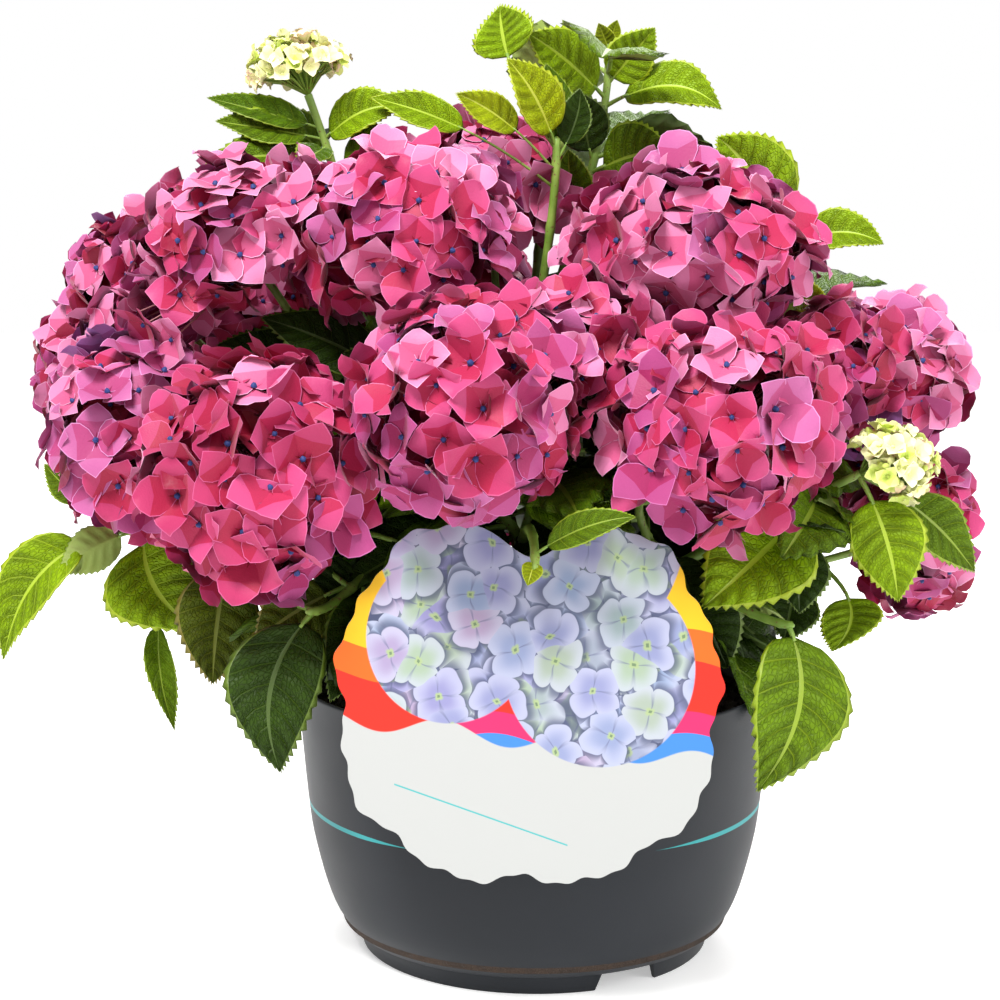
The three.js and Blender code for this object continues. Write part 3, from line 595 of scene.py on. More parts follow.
def printed_florets(tree, place):
    """Four-lobed florets in three layers, each over a shadow of its own."""
    uneven = node(tree, "ShaderNodeTexNoise", {"Vector": place, "Scale": 60.0, "Detail": 1.0})
    moved = node(tree, "ShaderNodeVectorMath", (
        uneven.outputs["Color"], (PRINT_UNEVENNESS,) * 3, place), operation="MULTIPLY_ADD")
    side, _, up = node(tree, "ShaderNodeSeparateXYZ", (moved.outputs[0],)).outputs
    print_tone = colour(*DEEP_GREY)
    for shift, scale, reach in FLORET_LAYERS:
        flat = node(tree, "ShaderNodeCombineXYZ", (
            maths(tree, "ADD", side, shift), maths(tree, "ADD", up, shift), 0.0)).outputs[0]
        spot = node(tree, "ShaderNodeTexVoronoi", {"Vector": flat, "Scale": scale},
                    voronoi_dimensions="2D", feature="F1").outputs
        chance_of = node(tree, "ShaderNodeSeparateColor", (spot["Color"],)).outputs
        out = node(tree, "ShaderNodeVectorMath", (flat, spot["Position"]), operation="SUBTRACT")
        dx, dz, _ = node(tree, "ShaderNodeSeparateXYZ", (out.outputs[0],)).outputs
        turn = maths(tree, "ADD", maths(tree, "ARCTAN2", dz, dx),
                     maths(tree, "MULTIPLY", chance_of[1], 3.0))
        lobe = maths(tree, "ABSOLUTE", maths(tree, "COSINE", maths(tree, "MULTIPLY", turn, 2.0)))
        full = maths(tree, "ADD", 1 - LOBE_DEPTH, maths(
            tree, "MULTIPLY", maths(tree, "POWER", lobe, 0.6), LOBE_DEPTH))
        away = maths(tree, "DIVIDE", spot["Distance"], maths(tree, "MULTIPLY", full, reach))
        crease = maths(tree, "MULTIPLY", ramp(tree, lobe, 0.34, 0.0), ramp(tree, away, 1.1, 0.3))
        tone = colour(*LILAC)
        for share, wash in (
                (chance_of[0], ICE_BLUE),
                (ramp(tree, chance_of[1], 0.62, 0.8), MINT),
                (ramp(tree, chance_of[2], 0.75, 0.9), ROSY),
                (maths(tree, "MULTIPLY", ramp(tree, away, 0.3, 0.95), 0.6), PALE_EDGE),
                (maths(tree, "MULTIPLY", crease, 0.75), VEIN_BLUE),
                (ramp(tree, away, 0.2, 0.1), LIME_EYE),
                (ramp(tree, away, 0.08, 0.04), GREEN_EYE)):
            tone = blend(tree, share, tone, colour(*wash))
        shade = maths(tree, "MULTIPLY", ramp(tree, away, 1.4, 1.0), 0.8)
        print_tone = blend(tree, shade, print_tone, colour(*SHADE_GREY))
        print_tone = blend(tree, ramp(tree, away, 1.02, 0.98), print_tone, tone)
    return print_tone

# %% Card print: bands and board
# heights, widths and radii in the print are in metres, as its coordinates are
FLORET_CIRCLES = ((-0.046, 0.206, 0.044), (0.032, 0.190, 0.050), (-0.004, 0.266, 0.082))
BAND_COLOURS = ((0.0, (50, 110, 176)), (0.13, (188, 26, 84)), (0.24, (196, 28, 8)),
                (0.5, (204, 84, 6)), (0.66, (206, 158, 6)))  # blue at the foot, yellow on top
BAND_HEIGHTS = (0.138, 0.238)
BAND_WAVE = (62.0, 0.006)  # how many radians in a metre, and how high
BOARD_EDGE = (0.153, -0.12)  # height and slope of the bands' lower edge
BOARD_WAVE = (95.0, 0.005)
RULE = (0.106, -0.34, 0.0004)  # height, slope and half width
RULE_RUN = (-0.03, 0.045)  # middle and half length
SOFT_EDGE = 0.0004
BOARD_WHITE = (159, 160, 158)
CARD_GRAIN = 420.0


def inside_circle(tree, x, z, circle):
    """How far inside a circle a place lies, in metres."""
    middle_x, middle_z, radius = circle
    dx = maths(tree, "SUBTRACT", x, middle_x)
    dz = maths(tree, "SUBTRACT", z, middle_z)
    gone = maths(tree, "SQRT", maths(tree, "ADD", maths(tree, "MULTIPLY", dx, dx),
                                     maths(tree, "MULTIPLY", dz, dz)))
    return maths(tree, "SUBTRACT", radius, gone)


def wave(tree, x, pace, height):
    return maths(tree, "MULTIPLY", maths(tree, "SINE", maths(tree, "MULTIPLY", x, pace)), height)


def warm_bands(tree, x, z):
    """Wavy bands, from yellow at the top to crimson and a thin blue edge."""
    band = node(tree, "ShaderNodeMapRange", (
        maths(tree, "ADD", z, wave(tree, x, *BAND_WAVE)), *BAND_HEIGHTS, 0.0, 1.0))
    warm = node(tree, "ShaderNodeValToRGB", (band.outputs[0],))
    stops = warm.color_ramp
    stops.interpolation = "CONSTANT"
    stops.elements.remove(stops.elements[1])
    stops.elements[0].color = colour(*BAND_COLOURS[0][1])
    for where, tone in BAND_COLOURS[1:]:
        stops.elements.new(where).color = colour(*tone)
    return warm.outputs["Color"]


def card_finish():
    made, tree, shader = finish_of("card", colour(158, 159, 158), 0.42)
    place = object_place(tree)
    x, _, z = node(tree, "ShaderNodeSeparateXYZ", (place,)).outputs
    field = inside_circle(tree, x, z, FLORET_CIRCLES[0])
    for circle in FLORET_CIRCLES[1:]:
        field = maths(tree, "MAXIMUM", field, inside_circle(tree, x, z, circle))
    edge_height, edge_slope = BOARD_EDGE
    line = maths(tree, "ADD", maths(tree, "MULTIPLY", x, edge_slope), wave(tree, x, *BOARD_WAVE))
    above = maths(tree, "SUBTRACT", maths(tree, "SUBTRACT", z, edge_height), line)
    board = blend(tree, ramp(tree, above, -SOFT_EDGE, SOFT_EDGE), colour(*BOARD_WHITE),
                  warm_bands(tree, x, z))
    board = blend(tree, ramp(tree, field, -SOFT_EDGE, SOFT_EDGE), board,
                  printed_florets(tree, place))
    rule_height, rule_slope, rule_half_width = RULE
    off_rule = maths(tree, "ABSOLUTE", maths(tree, "SUBTRACT", maths(
        tree, "SUBTRACT", z, maths(tree, "MULTIPLY", x, rule_slope)), rule_height))
    run = maths(tree, "ABSOLUTE", maths(tree, "SUBTRACT", x, RULE_RUN[0]))
    ruled = maths(tree, "MULTIPLY", maths(tree, "LESS_THAN", run, RULE_RUN[1]),
                  maths(tree, "LESS_THAN", off_rule, rule_half_width))
    plug(tree, shader.inputs["Base Color"], blend(tree, ruled, board, colour(60, 150, 150)))
    add_grain(tree, shader, CARD_GRAIN, 0.05, 0.0003)
    return made

# %% Card with its tongue
TONGUE_WIDTH = 36
TONGUE_REACH = 7.4
TONGUE_FOOT = 143.4
TONGUE_LIFT = 0.4  # above the pot's rim
TONGUE_START = 0.3  # in front of the card's back, so that it ends inside the board

white_finish, white_tree, white_shader = finish_of("card_board", colour(202, 203, 205), 0.55)
add_grain(white_tree, white_shader, CARD_GRAIN, 0.06, 0.0003)


def box_at(low, high):
    corners = [(x, y, z) for z in (low[2], high[2]) for y in (low[1], high[1])
               for x in (low[0], high[0])]
    return corners, [(0, 2, 3, 1), (4, 5, 7, 6), (0, 1, 5, 4), (1, 3, 7, 5), (3, 2, 6, 7),
                     (2, 0, 4, 6)]


finish_numbers = [0] + [1] * (count + 1)  # only the front face carries the print
left, right = [CARD_MIDDLE[0] + side * TONGUE_WIDTH / 2 for side in (-1, 1)]
tongue_top = POT_HEIGHT + TONGUE_LIFT + CARD_THICKNESS
tongue_end = rim_front + TONGUE_REACH
tongue = [box_at((left, rim_front - TONGUE_START, tongue_top - CARD_THICKNESS),
                 (right, tongue_end, tongue_top)),
          box_at((left, tongue_end - CARD_THICKNESS, TONGUE_FOOT),
                 (right, tongue_end, tongue_top - 0.01))]
for corners, sides in tongue:
    start = len(card_points)
    card_points += corners
    card_faces += [tuple(start + i for i in side) for side in sides]
    finish_numbers += [1] * len(sides)
card = piece_of("label_card_board", card_points, card_faces, [card_finish(), white_finish],
                finish_numbers, smooth=False)
settle(card, "card", "label_card")

# %% [markdown]
# ## Woody crown and canes
# The old wood stands in the middle: a squat knob on the soil with twelve canes. Each cane
# is one tapering limb that leans out and then turns up, with rings where leaves once sat
# and shallow grooves along the bark. A tube function follows the cane's curve and moves
# its surface in and out, so that the relief is real shape and not only a bump.

# %% Growth rule: canes
CROWN_PROFILE = [(34, 0), (36, 4), (33, 12), (26, 19), (0, 22)]
CROWN_FOOT_HEIGHT = SOIL_TOP_HEIGHT + SEAT_GAP
CANE_RADII = (4.2, 3.3)
CANE_FOOT_HEIGHT = 160
RING_RADII = {"outer": 26, "inner": 9}
CANE_LEAN = 0.3  # how far out the middle of a cane has come
CANE_LIFT = 0.62  # how far up it has come by then
FORK_STEM = 7
FORKS = {
    "outer": {
        "front_left": (-75, -45, 225), "front": (-8, -48, 235), "front_right": (60, -50, 220),
        "right": (100, 0, 212), "right_back": (85, 52, 230), "back_right": (48, 75, 235),
        "back": (-15, 70, 240), "back_left": (-60, 50, 250), "left": (-100, 20, 250)},
    "inner": {
        "upper_left": (-55, -15, 265), "upper_right": (45, -8, 265), "top": (-5, 30, 275)},
}


def unit(v):
    v = np.asarray(v, float)
    return v / np.linalg.norm(v)


def bezier(controls, steps=96):
    """Evenly spaced points along a Bezier curve of three or four controls."""
    c = np.asarray(controls, float)
    s = np.linspace(0, 1, 4 * steps)[:, None]
    if len(c) == 3:
        line = (1 - s) ** 2 * c[0] + 2 * s * (1 - s) * c[1] + s ** 2 * c[2]
    else:
        line = ((1 - s) ** 3 * c[0] + 3 * s * (1 - s) ** 2 * c[1] + 3 * s ** 2 * (1 - s) * c[2]
                + s ** 3 * c[3])
    return evened(line, steps)


def evened(line, steps):
    gone = np.concatenate([[0], np.cumsum(np.linalg.norm(np.diff(line, axis=0), axis=1))])
    at = np.linspace(0, gone[-1], steps + 1)
    return np.stack([np.interp(at, gone, line[:, k]) for k in range(3)], 1)


def along(path, share):
    at = share * (len(path) - 1)
    i = min(int(at), len(path) - 2)
    return path[i] + (path[i + 1] - path[i]) * (at - i)


canes = {}
for ring, forks in FORKS.items():
    first = next(iter(forks.values()))
    for number, (name, fork) in enumerate(forks.items()):
        bearing = math.atan2(first[1], first[0]) + 2 * math.pi * number / len(forks)
        foot = np.array([RING_RADII[ring] * math.cos(bearing),
                         RING_RADII[ring] * math.sin(bearing), CANE_FOOT_HEIGHT])
        fork = np.array(fork, float)
        bend = foot + (fork - foot) * (CANE_LEAN, CANE_LEAN, CANE_LIFT)
        heading = unit(fork - bend)
        canes[name] = {"path": bezier([foot, bend, fork]), "fork": fork, "heading": heading,
                       "knob": fork + FORK_STEM * heading}
print("canes", len(canes))


# %% Tubes with relief
def tube(path, radius, sides, around=None):
    """A closed tube. radius is a number per ring, and around(turn, ring) a share of it."""
    rings = len(path)
    way = np.gradient(path, axis=0)
    way /= np.linalg.norm(way, axis=1)[:, None]
    side = unit(np.cross(way[0], (0.31, 0.87, 0.38)))
    turn = np.arange(sides) * 2 * math.pi / sides
    radius = np.broadcast_to(radius, rings)
    points = []
    for i in range(rings):
        side = unit(side - way[i] * side.dot(way[i]))
        other = np.cross(way[i], side)
        out = radius[i] * (1 if around is None else around(turn, i / (rings - 1)))
        points.append(path[i] + np.outer(np.cos(turn) * out, side)
                      + np.outer(np.sin(turn) * out, other))
    points = np.vstack([*points, path[:1], path[-1:]])
    here = np.arange(sides)
    after = (here + 1) % sides
    faces = []
    for i in range(rings - 1):
        faces += np.stack([i * sides + here, i * sides + after, (i + 1) * sides + after,
                           (i + 1) * sides + here], 1).tolist()
    last = (rings - 1) * sides
    faces += np.stack([after, here, np.full(sides, rings * sides)], 1).tolist()
    faces += np.stack([last + here, last + after, np.full(sides, rings * sides + 1)], 1).tolist()
    return points, faces


def joined(name, parts, finish):
    """One object from several (points, faces) pairs."""
    points, faces, start = [], [], 0
    for some_points, some_faces in parts:
        points.append(some_points)
        faces += [[start + v for v in face] for face in some_faces]
        start += len(some_points)
    return piece_of(name, np.vstack(points), faces, [finish])

# %% Bark finish
BARK_STRETCH = (1.0, 1.0, 0.22)  # the fibres run upwards
BARK_SPECKS = (88, 62, 42)
CROWN_SIDES = 60
CROWN_RINGS = 15
CROWN_KNOBS = ((7, 0.3, 0.05), (13, -0.5, 0.04))  # how many, how they wind, depth


def bark_finish(name, dark, light, grain):
    made, tree, shader = finish_of(name, dark, 0.85)
    place = object_place(tree)
    stretched = node(tree, "ShaderNodeMapping", {"Vector": place, "Scale": BARK_STRETCH})
    fibres = noise(tree, stretched.outputs[0], grain, 5.0, 0.65)
    specks = ramp(tree, noise(tree, place, grain * 1.6, 1.0), 0.62, 0.7)
    tone = blend(tree, ramp(tree, fibres, 0.35, 0.68), dark, light)
    plug(tree, shader.inputs["Base Color"], blend(tree, specks, tone, colour(*BARK_SPECKS)))
    add_bump(tree, shader, fibres, 0.5, 0.0012)
    return made


cane_bark = bark_finish("bark_cane", colour(112, 84, 56), colour(168, 138, 98), 420.0)
crown_bark = bark_finish("bark_old", colour(74, 54, 38), colour(128, 100, 72), 260.0)

# %% Woody crown
corners_at = np.linspace(0, 1, len(CROWN_PROFILE))
rings_at = np.linspace(0, 1, CROWN_RINGS)
crown_lines = [np.interp(rings_at, corners_at, line) for line in np.array(CROWN_PROFILE, float).T]
crown_points, crown_faces = turned([(0, 0), *zip(*crown_lines)], CROWN_SIDES)
turns = np.arctan2(crown_points[:, 1], crown_points[:, 0])
sunk = sum(depth * (1 + np.sin(knobs * turns + wind * crown_points[:, 2])) / 2
           for knobs, wind, depth in CROWN_KNOBS)
crown_points[:, :2] *= (1 - sunk)[:, None]
crown_points[:, 2] += CROWN_FOOT_HEIGHT
crown = welded(piece_of("woody_crown_bark", crown_points, crown_faces, [crown_bark]))
settle(crown, "bark", "woody_crown")

# %% Canes
CANE_SIDES = 16
CANE_RINGS = 60
LEAF_RINGS = 4.3  # marks of old leaves on a cane
LEAF_RING_SWELL = 0.13


def grooves(number):
    """Shallow grooves along a cane, different on each."""
    return lambda turn, share: (1 - 0.035 * (1 + np.sin(5 * turn + number + 2 * share))
                                - 0.02 * (1 + np.sin(11 * turn - 3 * share)))


for number, (name, cane) in enumerate(canes.items()):
    places = np.linspace(0, 1, CANE_RINGS)
    marks = (places * LEAF_RINGS + 0.17 * number) % 1
    swell = 1 + LEAF_RING_SWELL * np.exp(-((marks - 0.5) / 0.05) ** 2)
    girth = np.interp(places, (0, 1), CANE_RADII) * swell
    path = evened(cane["path"], CANE_RINGS - 1)
    path[-1] = cane["fork"] - cane["heading"] * SEAT_GAP
    points, faces = tube(path, girth, CANE_SIDES, grooves(number))
    settle(piece_of(f"cane_{name}_bark", points, faces, [cane_bark]), "bark", f"cane_{name}")

# %% [markdown]
# ## Growth rule: heads and shoots
# From the fork of each cane, shoots sweep out to the flower heads and to the leafy tips.
# A shoot is a smooth curve that sets out partly in the cane's own direction and arrives in
# the direction of its head. The same table of heads drives the stalks here and the blossom
# further down, so nothing can come apart.

# %% Heads and shoots
BLOOMS = {  # the cane that bears it, centre x, y, z and radius
    "front_left": ("front_left", -144, -100, 289, 67),
    "left_side": ("front_left", -218, -30, 302, 57),
    "front": ("front", -38, -125, 326, 62),
    "front_middle": ("front", 22, -75, 351, 43),
    "front_right": ("front_right", 92, -110, 313, 62),
    "upper_left": ("upper_left", -72, -45, 409, 61),
    "left_shoulder": ("upper_left", -164, -20, 407, 53),
    "left_high": ("left", -229, 50, 376, 46),
    "left_low": ("left", -263, 58, 330, 38),
    "left_back": ("back_left", -235, 140, 270, 52),
    "upper_right": ("upper_right", 85, -20, 399, 69),
    "right_inner": ("upper_right", 167, -10, 337, 39),
    "right_high": ("right", 205, 30, 327, 48),
    "right_low": ("right", 228, 50, 229, 50),
    "top": ("top", -26, 60, 432, 50),
    "back_left_high": ("back_left", -150, 120, 345, 58),
    "back_left_low": ("back", -120, 205, 265, 56),
    "back_middle": ("back", -50, 165, 350, 60),
    "back_low": ("back", 0, 225, 255, 58),
    "back_right_high": ("back_right", 65, 160, 335, 60),
    "back_right_low": ("back_right", 120, 205, 250, 56),
    "right_back": ("right_back", 165, 125, 320, 56),
    "right_back_low": ("right_back", 205, 135, 255, 46),
}
UNRIPE_HEADS = {
    "unripe_left": ("back_left", -134, 30, 500, 28),
    "unripe_right": ("front_right", 191, -50, 287, 29),
    "unripe_back": ("back_left", -92, 112, 432, 27),
}
LEAFY_SHOOTS = {  # the cane, the tip and the way the tip points
    "top_tall": ("top", (44, 66, 520), (0, 0, 1)),
    "top_fork": ("top", (12, 18, 462), (0, 0, 1)),
    "top_back": ("top", (5, 105, 440), (0, 0.2, 1)),
    "right_leafy": ("right_back", (150, 62, 405), (0.2, 0, 1)),
    "left_leafy": ("left", (-234, 4, 240), (-0.9, 0, 0.1)),
    "left_skirt": ("front_left", (-122, -102, 214), (-0.7, -0.6, 0.1)),
    "right_skirt": ("front_right", (135, -104, 207), (0.8, -0.6, 0.0)),
    "front_stub": ("front", (-2, -150, 246), (0, -0.7, -0.7)),
    "back_skirt_left": ("back_left", (-130, 160, 200), (-0.6, 0.7, 0.1)),
    "back_skirt_right": ("back_right", (110, 165, 195), (0.6, 0.7, 0.1)),
}
PLANT_HEART = np.array((-10, 15, 230))
HEAD_LIFT = 0.25
STALK_REACH = 1.12  # of the head's radius, from its centre to the foot of its stalk
SHOOT_SWEEP = 0.35
FORK_SPREAD = 0.55

heads = {}
for name, (cane, x, y, z, radius) in {**BLOOMS, **UNRIPE_HEADS}.items():
    centre = np.array((x, y, z), float)
    axis = unit(unit(centre - PLANT_HEART) + (0, 0, HEAD_LIFT))
    heads[name] = {"cane": cane, "centre": centre, "radius": radius, "axis": axis}

shoots = {}


def add_shoot(name, cane, tip, tip_heading):
    knob, heading = canes[cane]["knob"], canes[cane]["heading"]
    sweep = SHOOT_SWEEP * np.linalg.norm(tip - knob)
    set_out = unit(unit(tip - knob) * FORK_SPREAD + heading * (1 - FORK_SPREAD))
    controls = [knob, knob + set_out * sweep, tip - tip_heading * sweep, tip]
    shoots[name] = {"cane": cane, "controls": controls, "path": bezier(controls)}


for name, head in heads.items():
    add_shoot(name, head["cane"], head["centre"] - STALK_REACH * head["radius"] * head["axis"],
              head["axis"])
for name, (cane, tip, heading) in LEAFY_SHOOTS.items():
    add_shoot(name, cane, np.array(tip, float), unit(heading))
print("heads", len(heads), "shoots", len(shoots))

# %% [markdown]
# ## Shoots
# Young shoots are smooth green stems that thin out towards the tip, swell a little at
# each pair of leaves and carry brown specks. A Geometry Nodes tree sweeps a circle along
# every line of points: the lines carry their own thickness, so one tree makes all stems of
# a cane at once. The stalks inside the flower heads are the same lines, run on.

# %% Stem tree
STEM_SIDES = 10

stem_tree, stem_in, stem_out = tree_of("sweep_stems", [
    ("Sides", "NodeSocketInt", STEM_SIDES), ("Finish", "NodeSocketMaterial", None)])
line = node(stem_tree, "GeometryNodeMeshToCurve", (stem_in.outputs[0],))
ring = node(stem_tree, "GeometryNodeCurvePrimitiveCircle", {
    "Resolution": stem_in.outputs["Sides"], "Radius": 1.0})
sweep = node(stem_tree, "GeometryNodeCurveToMesh", {
    "Curve": line.outputs[0], "Profile Curve": ring.outputs[0],
    "Scale": named(stem_tree, "thick", "FLOAT"), "Fill Caps": True})
dressed(stem_tree, sweep.outputs[0], stem_in.outputs["Finish"], stem_out)


def stems(name, lines, finish, sides=STEM_SIDES):
    """Sweeps (points, radii) lines, in millimetres, into one mesh."""
    points = np.vstack([p for p, _ in lines])
    edges, start = [], 0
    for p, _ in lines:
        edges += [(start + i, start + i + 1) for i in range(len(p) - 1)]
        start += len(p)
    mesh = bpy.data.meshes.new(name)
    mesh.from_pydata((points * MM).tolist(), edges, [])
    layer = mesh.attributes.new("thick", "FLOAT", "POINT")
    layer.data.foreach_set("value", np.concatenate([r for _, r in lines]) * MM)
    made = grow_with(linked(name, mesh), stem_tree, {"Sides": sides, "Finish": finish})
    shade_smooth(made)
    return made


# %% Stem finish
STEM_GREENS = ((132, 158, 66), (104, 136, 44))
STEM_SPECKS = (112, 82, 48)


def stem_finish(name, pale, deep):
    made, tree, shader = finish_of(name, pale, 0.5)
    place = object_place(tree)
    tone = blend(tree, ramp(tree, noise(tree, place, 60.0), 0.35, 0.65), pale, deep)
    specks = ramp(tree, noise(tree, place, 520.0, 1.0), 0.64, 0.7)
    plug(tree, shader.inputs["Base Color"], blend(tree, specks, tone, colour(*STEM_SPECKS)))
    add_grain(tree, shader, 500.0, 0.2, 0.0006)
    return made


shoot_green = stem_finish("shoot_green", *[colour(*tone) for tone in STEM_GREENS])

# %% Shoot lines
SHOOT_STEPS = 40
SHOOT_PLACES = (0, 0.06, 0.12, 1)  # shares of the shoot's length
SHOOT_RADII = (4.0, 3.5, 3.1, 2.2)  # its radius there
SHOOT_TIP = (1.6, 0.8)  # how far a leafy tip runs on, and its radius
STALK_RADIUS = 2.4
STALK_TOP = 0.5  # of the head's radius, short of its centre
PAIR_PLACES = (0.32, 0.5, 0.72, 0.92)
PAIR_SWELL = (0.5, 0.018)  # height and half length of the knot at a pair of leaves
FORK_RADII = (3.3, 3.4, 3.8, 4.4, 4.7, 4.2)

stem_lines = {name: [] for name in canes}
for name, shoot in shoots.items():
    path = evened(shoot["path"], SHOOT_STEPS)
    share = np.linspace(0, 1, SHOOT_STEPS + 1)
    girth = np.interp(share, SHOOT_PLACES, SHOOT_RADII)
    for place in PAIR_PLACES:
        girth += PAIR_SWELL[0] * np.exp(-((share - place) / PAIR_SWELL[1]) ** 2)
    if name in heads:
        head = heads[name]
        end = head["centre"] - STALK_TOP * head["radius"] * head["axis"]
        end_radius = STALK_RADIUS
    else:
        end = path[-1] + SHOOT_TIP[0] * unit(path[-1] - path[-2])
        end_radius = SHOOT_TIP[1]
    stem_lines[shoot["cane"]].append((np.vstack([path, end]), np.append(girth, end_radius)))
for name, cane in canes.items():
    run = np.linspace(0, 1, len(FORK_RADII))
    path = cane["fork"] + np.outer(run, cane["knob"] - cane["fork"])
    stem_lines[name].append((path, np.array(FORK_RADII)))
print("stem lines", sum(len(lines) for lines in stem_lines.values()))

# %% [markdown]
# ## Leaves
# A leaf is oval with a drawn-out tip, a toothed edge and a quilted blade: the side veins
# lie in valleys and the blade bulges between them. The bulges, the teeth and the fold along
# the rib are real shape, because they catch the light from every side. Each leaf is a thin
# closed shell, so that the paler underside is a face of its own.
#
# A grid of points is bent into each leaf. All leaves share one way of joining the points,
# so only their places are worked out anew. The blade carries its own UV map, across and
# along, and the fine veins and the net between them are drawn on that map, with a painted
# highlight on the bulges between the side veins and painted shade in the net's sunken lines.

# %% Leaf finishes
LEAF_LOOKS = {  # blade, veins and rib, toothed edge
    "young": ((130, 144, 8), (166, 174, 46), (152, 162, 20)),
    # fresh is the lighter green of young leaves, and also painted light on leaves that lie in the
    # shade of the heads
    "fresh": ((106, 132, 4), (148, 170, 34), (142, 160, 10)),
    "bright": ((76, 100, 3), (118, 138, 26), (118, 138, 8)),
    "mid": ((66, 92, 3), (104, 124, 24), (108, 126, 10)),
    "dark": ((32, 50, 3), (58, 78, 16), (76, 96, 10)),
    "olive": ((62, 72, 3), (98, 106, 20), (104, 96, 12)),
}
LEAF_UNDERSIDES = {"pale": (128, 146, 64), "grey": (70, 92, 28)}
LOOK_NAMES = list(LEAF_LOOKS)
UNDER_PALE = 3 * len(LOOK_NAMES)  # after a blade, a rib and an edge of every look
SIDE_VEINS = 7
NET_STRETCH = (9.0, 15.0, 1.0)


def wash(tone, share, lift=0):
    """A lighter or darker tone of the same colour."""
    return colour(*[min(255, v * share + lift) for v in tone])


def leaf_finish(look, blade, vein):
    made, tree, shader = finish_of(f"leaf_{look}", colour(*blade), 0.5, Specular_IOR_Level=0.14)
    surface = node(tree, "ShaderNodeUVMap", uv_map="surface").outputs[0]
    cross, up, _ = node(tree, "ShaderNodeSeparateXYZ", (surface,)).outputs
    turn = maths(tree, "MULTIPLY", up, float(SIDE_VEINS))
    near = maths(tree, "ABSOLUTE", maths(tree, "SUBTRACT", maths(tree, "FRACT", turn), 0.5))
    side_vein = ramp(tree, near, 0.43, 0.5)
    bulge_highlight = ramp(tree, near, 0.36, 0.1)
    flat = node(tree, "ShaderNodeCombineXYZ", (cross, up, 0.0)).outputs[0]
    spread = node(tree, "ShaderNodeMapping", {"Vector": flat, "Scale": NET_STRETCH}).outputs[0]
    cells = node(tree, "ShaderNodeTexVoronoi", {"Vector": spread, "Scale": 2.2},
                 feature="DISTANCE_TO_EDGE").outputs["Distance"]
    net = maths(tree, "SUBTRACT", 1.0, ramp(tree, cells, 0.0, 0.16))
    patches = ramp(tree, noise(tree, object_place(tree), 42.0), 0.3, 0.7)
    tone = blend(tree, patches, wash(blade, 0.84), wash(blade, 1.14))
    # painted highlight: the blade is lighter on its bulges, midway between the side veins
    tone = blend(tree, maths(tree, "MULTIPLY", bulge_highlight, 0.5), tone, wash(blade, 1.16, 6))
    # painted shade: the net's sunken lines are darker
    tone = blend(tree, maths(tree, "MULTIPLY", net, 0.3), tone, wash(blade, 0.7))
    tone = blend(tree, maths(tree, "MULTIPLY", side_vein, 0.5), tone, colour(*vein))
    plug(tree, shader.inputs["Base Color"], tone)
    sunk = maths(tree, "MAXIMUM", side_vein, maths(tree, "MULTIPLY", net, 0.7))
    add_bump(tree, shader, maths(tree, "MULTIPLY", sunk, -1.0), 0.7, 0.0011)
    return made


def plain_leaf_finish(name, tone, roughness, grain):
    made, tree, shader = finish_of(name, colour(*tone), roughness)
    add_grain(tree, shader, *grain)
    return made


leaf_finishes = []
for look, (blade, vein, edge) in LEAF_LOOKS.items():
    leaf_finishes.append(leaf_finish(look, blade, vein))
    for part, tone in (("rib", vein), ("edge", edge)):
        leaf_finishes.append(plain_leaf_finish(f"leaf_{look}_{part}", tone, 0.5,
                                               (600.0, 0.15, 0.0004)))
for look, tone in LEAF_UNDERSIDES.items():
    leaf_finishes.append(plain_leaf_finish(f"leaf_under_{look}", tone, 0.65,
                                           (300.0, 0.4, 0.0008)))
print("leaf finishes", len(leaf_finishes))

# %% Leaf grid
LEAF_WIDEST = 0.40  # of the blade's length
VEIN_SLANT = 0.8  # how far the side veins run forward on their way out
VALLEY = {2: (0, 1), 4: (0, 0.75, 1, 0.75)}  # the blade's height between two side veins
NARROWEST = 0.012  # of its width, so that base and tip stay open
BLADE, RIB, EDGE = 0, 1, 2


def leaf_grid(steps, places, heights, parts):
    """A blade's grid, in which every row of points runs along the side veins.

    steps is the rows from one side vein to the next, places and heights are the columns
    from edge to edge and how high each bulges, and parts says what each strip is.
    """
    row_count, column_count = SIDE_VEINS * steps + 1, len(places)
    s = np.linspace(0, 1, row_count)[:, None]
    v = np.array(places)[None, :]
    run = s + VEIN_SLANT * np.abs(v) ** 1.3 * s * (1 - s)
    rounded = np.sqrt(np.clip(1 - (1 - np.minimum(run / LEAF_WIDEST, 1)) ** 2, 0, 1))
    taper = np.clip((run - LEAF_WIDEST) / (1 - LEAF_WIDEST), 0, 1)
    wide = np.maximum(rounded * (1 - taper) * (1 + 0.95 * taper - 0.3 * taper ** 2), NARROWEST)
    upper = np.arange(row_count * column_count).reshape(row_count, column_count)
    border = np.zeros_like(upper, bool)
    border[[0, -1]] = True
    border[:, [0, -1]] = True
    lower = upper.copy()
    lower[~border] = upper.size + np.arange((~border).sum())
    faces = []
    for ids, turn_over in ((upper, False), (lower, True)):
        quad = np.stack([ids[:-1, :-1], ids[:-1, 1:], ids[1:, 1:], ids[1:, :-1]], -1)
        # two corners are cut the other way, so that no triangle lies on the rim alone
        for corner in ((0, -1), (-1, 0)):
            quad[corner] = np.roll(quad[corner], -1)
        quad = quad.reshape(-1, 4)
        # both shells are cut along the same diagonal, so that neither pokes through
        triangles = np.stack([quad[:, [0, 1, 2]], quad[:, [0, 2, 3]]], 1).reshape(-1, 3)
        faces.append(triangles[:, ::-1] if turn_over else triangles)
    uv = np.stack(np.broadcast_arrays(v * 0.5 + 0.5, s), -1).reshape(-1, 2)
    return {"run": run, "v": v, "wide": wide, "border": border, "faces": np.vstack(faces),
            "parts": np.repeat(np.tile(parts, row_count - 1), 2),
            "bulge": np.resize(VALLEY[steps], row_count)[:, None] * np.array(heights)[None, :],
            "tooth": (np.arange(row_count) % 2)[:, None] * (np.abs(v) == 1) * (s < 0.97),
            "rib": np.abs(v) < 0.1, "uv": np.vstack([uv, uv[~border.ravel()]])}


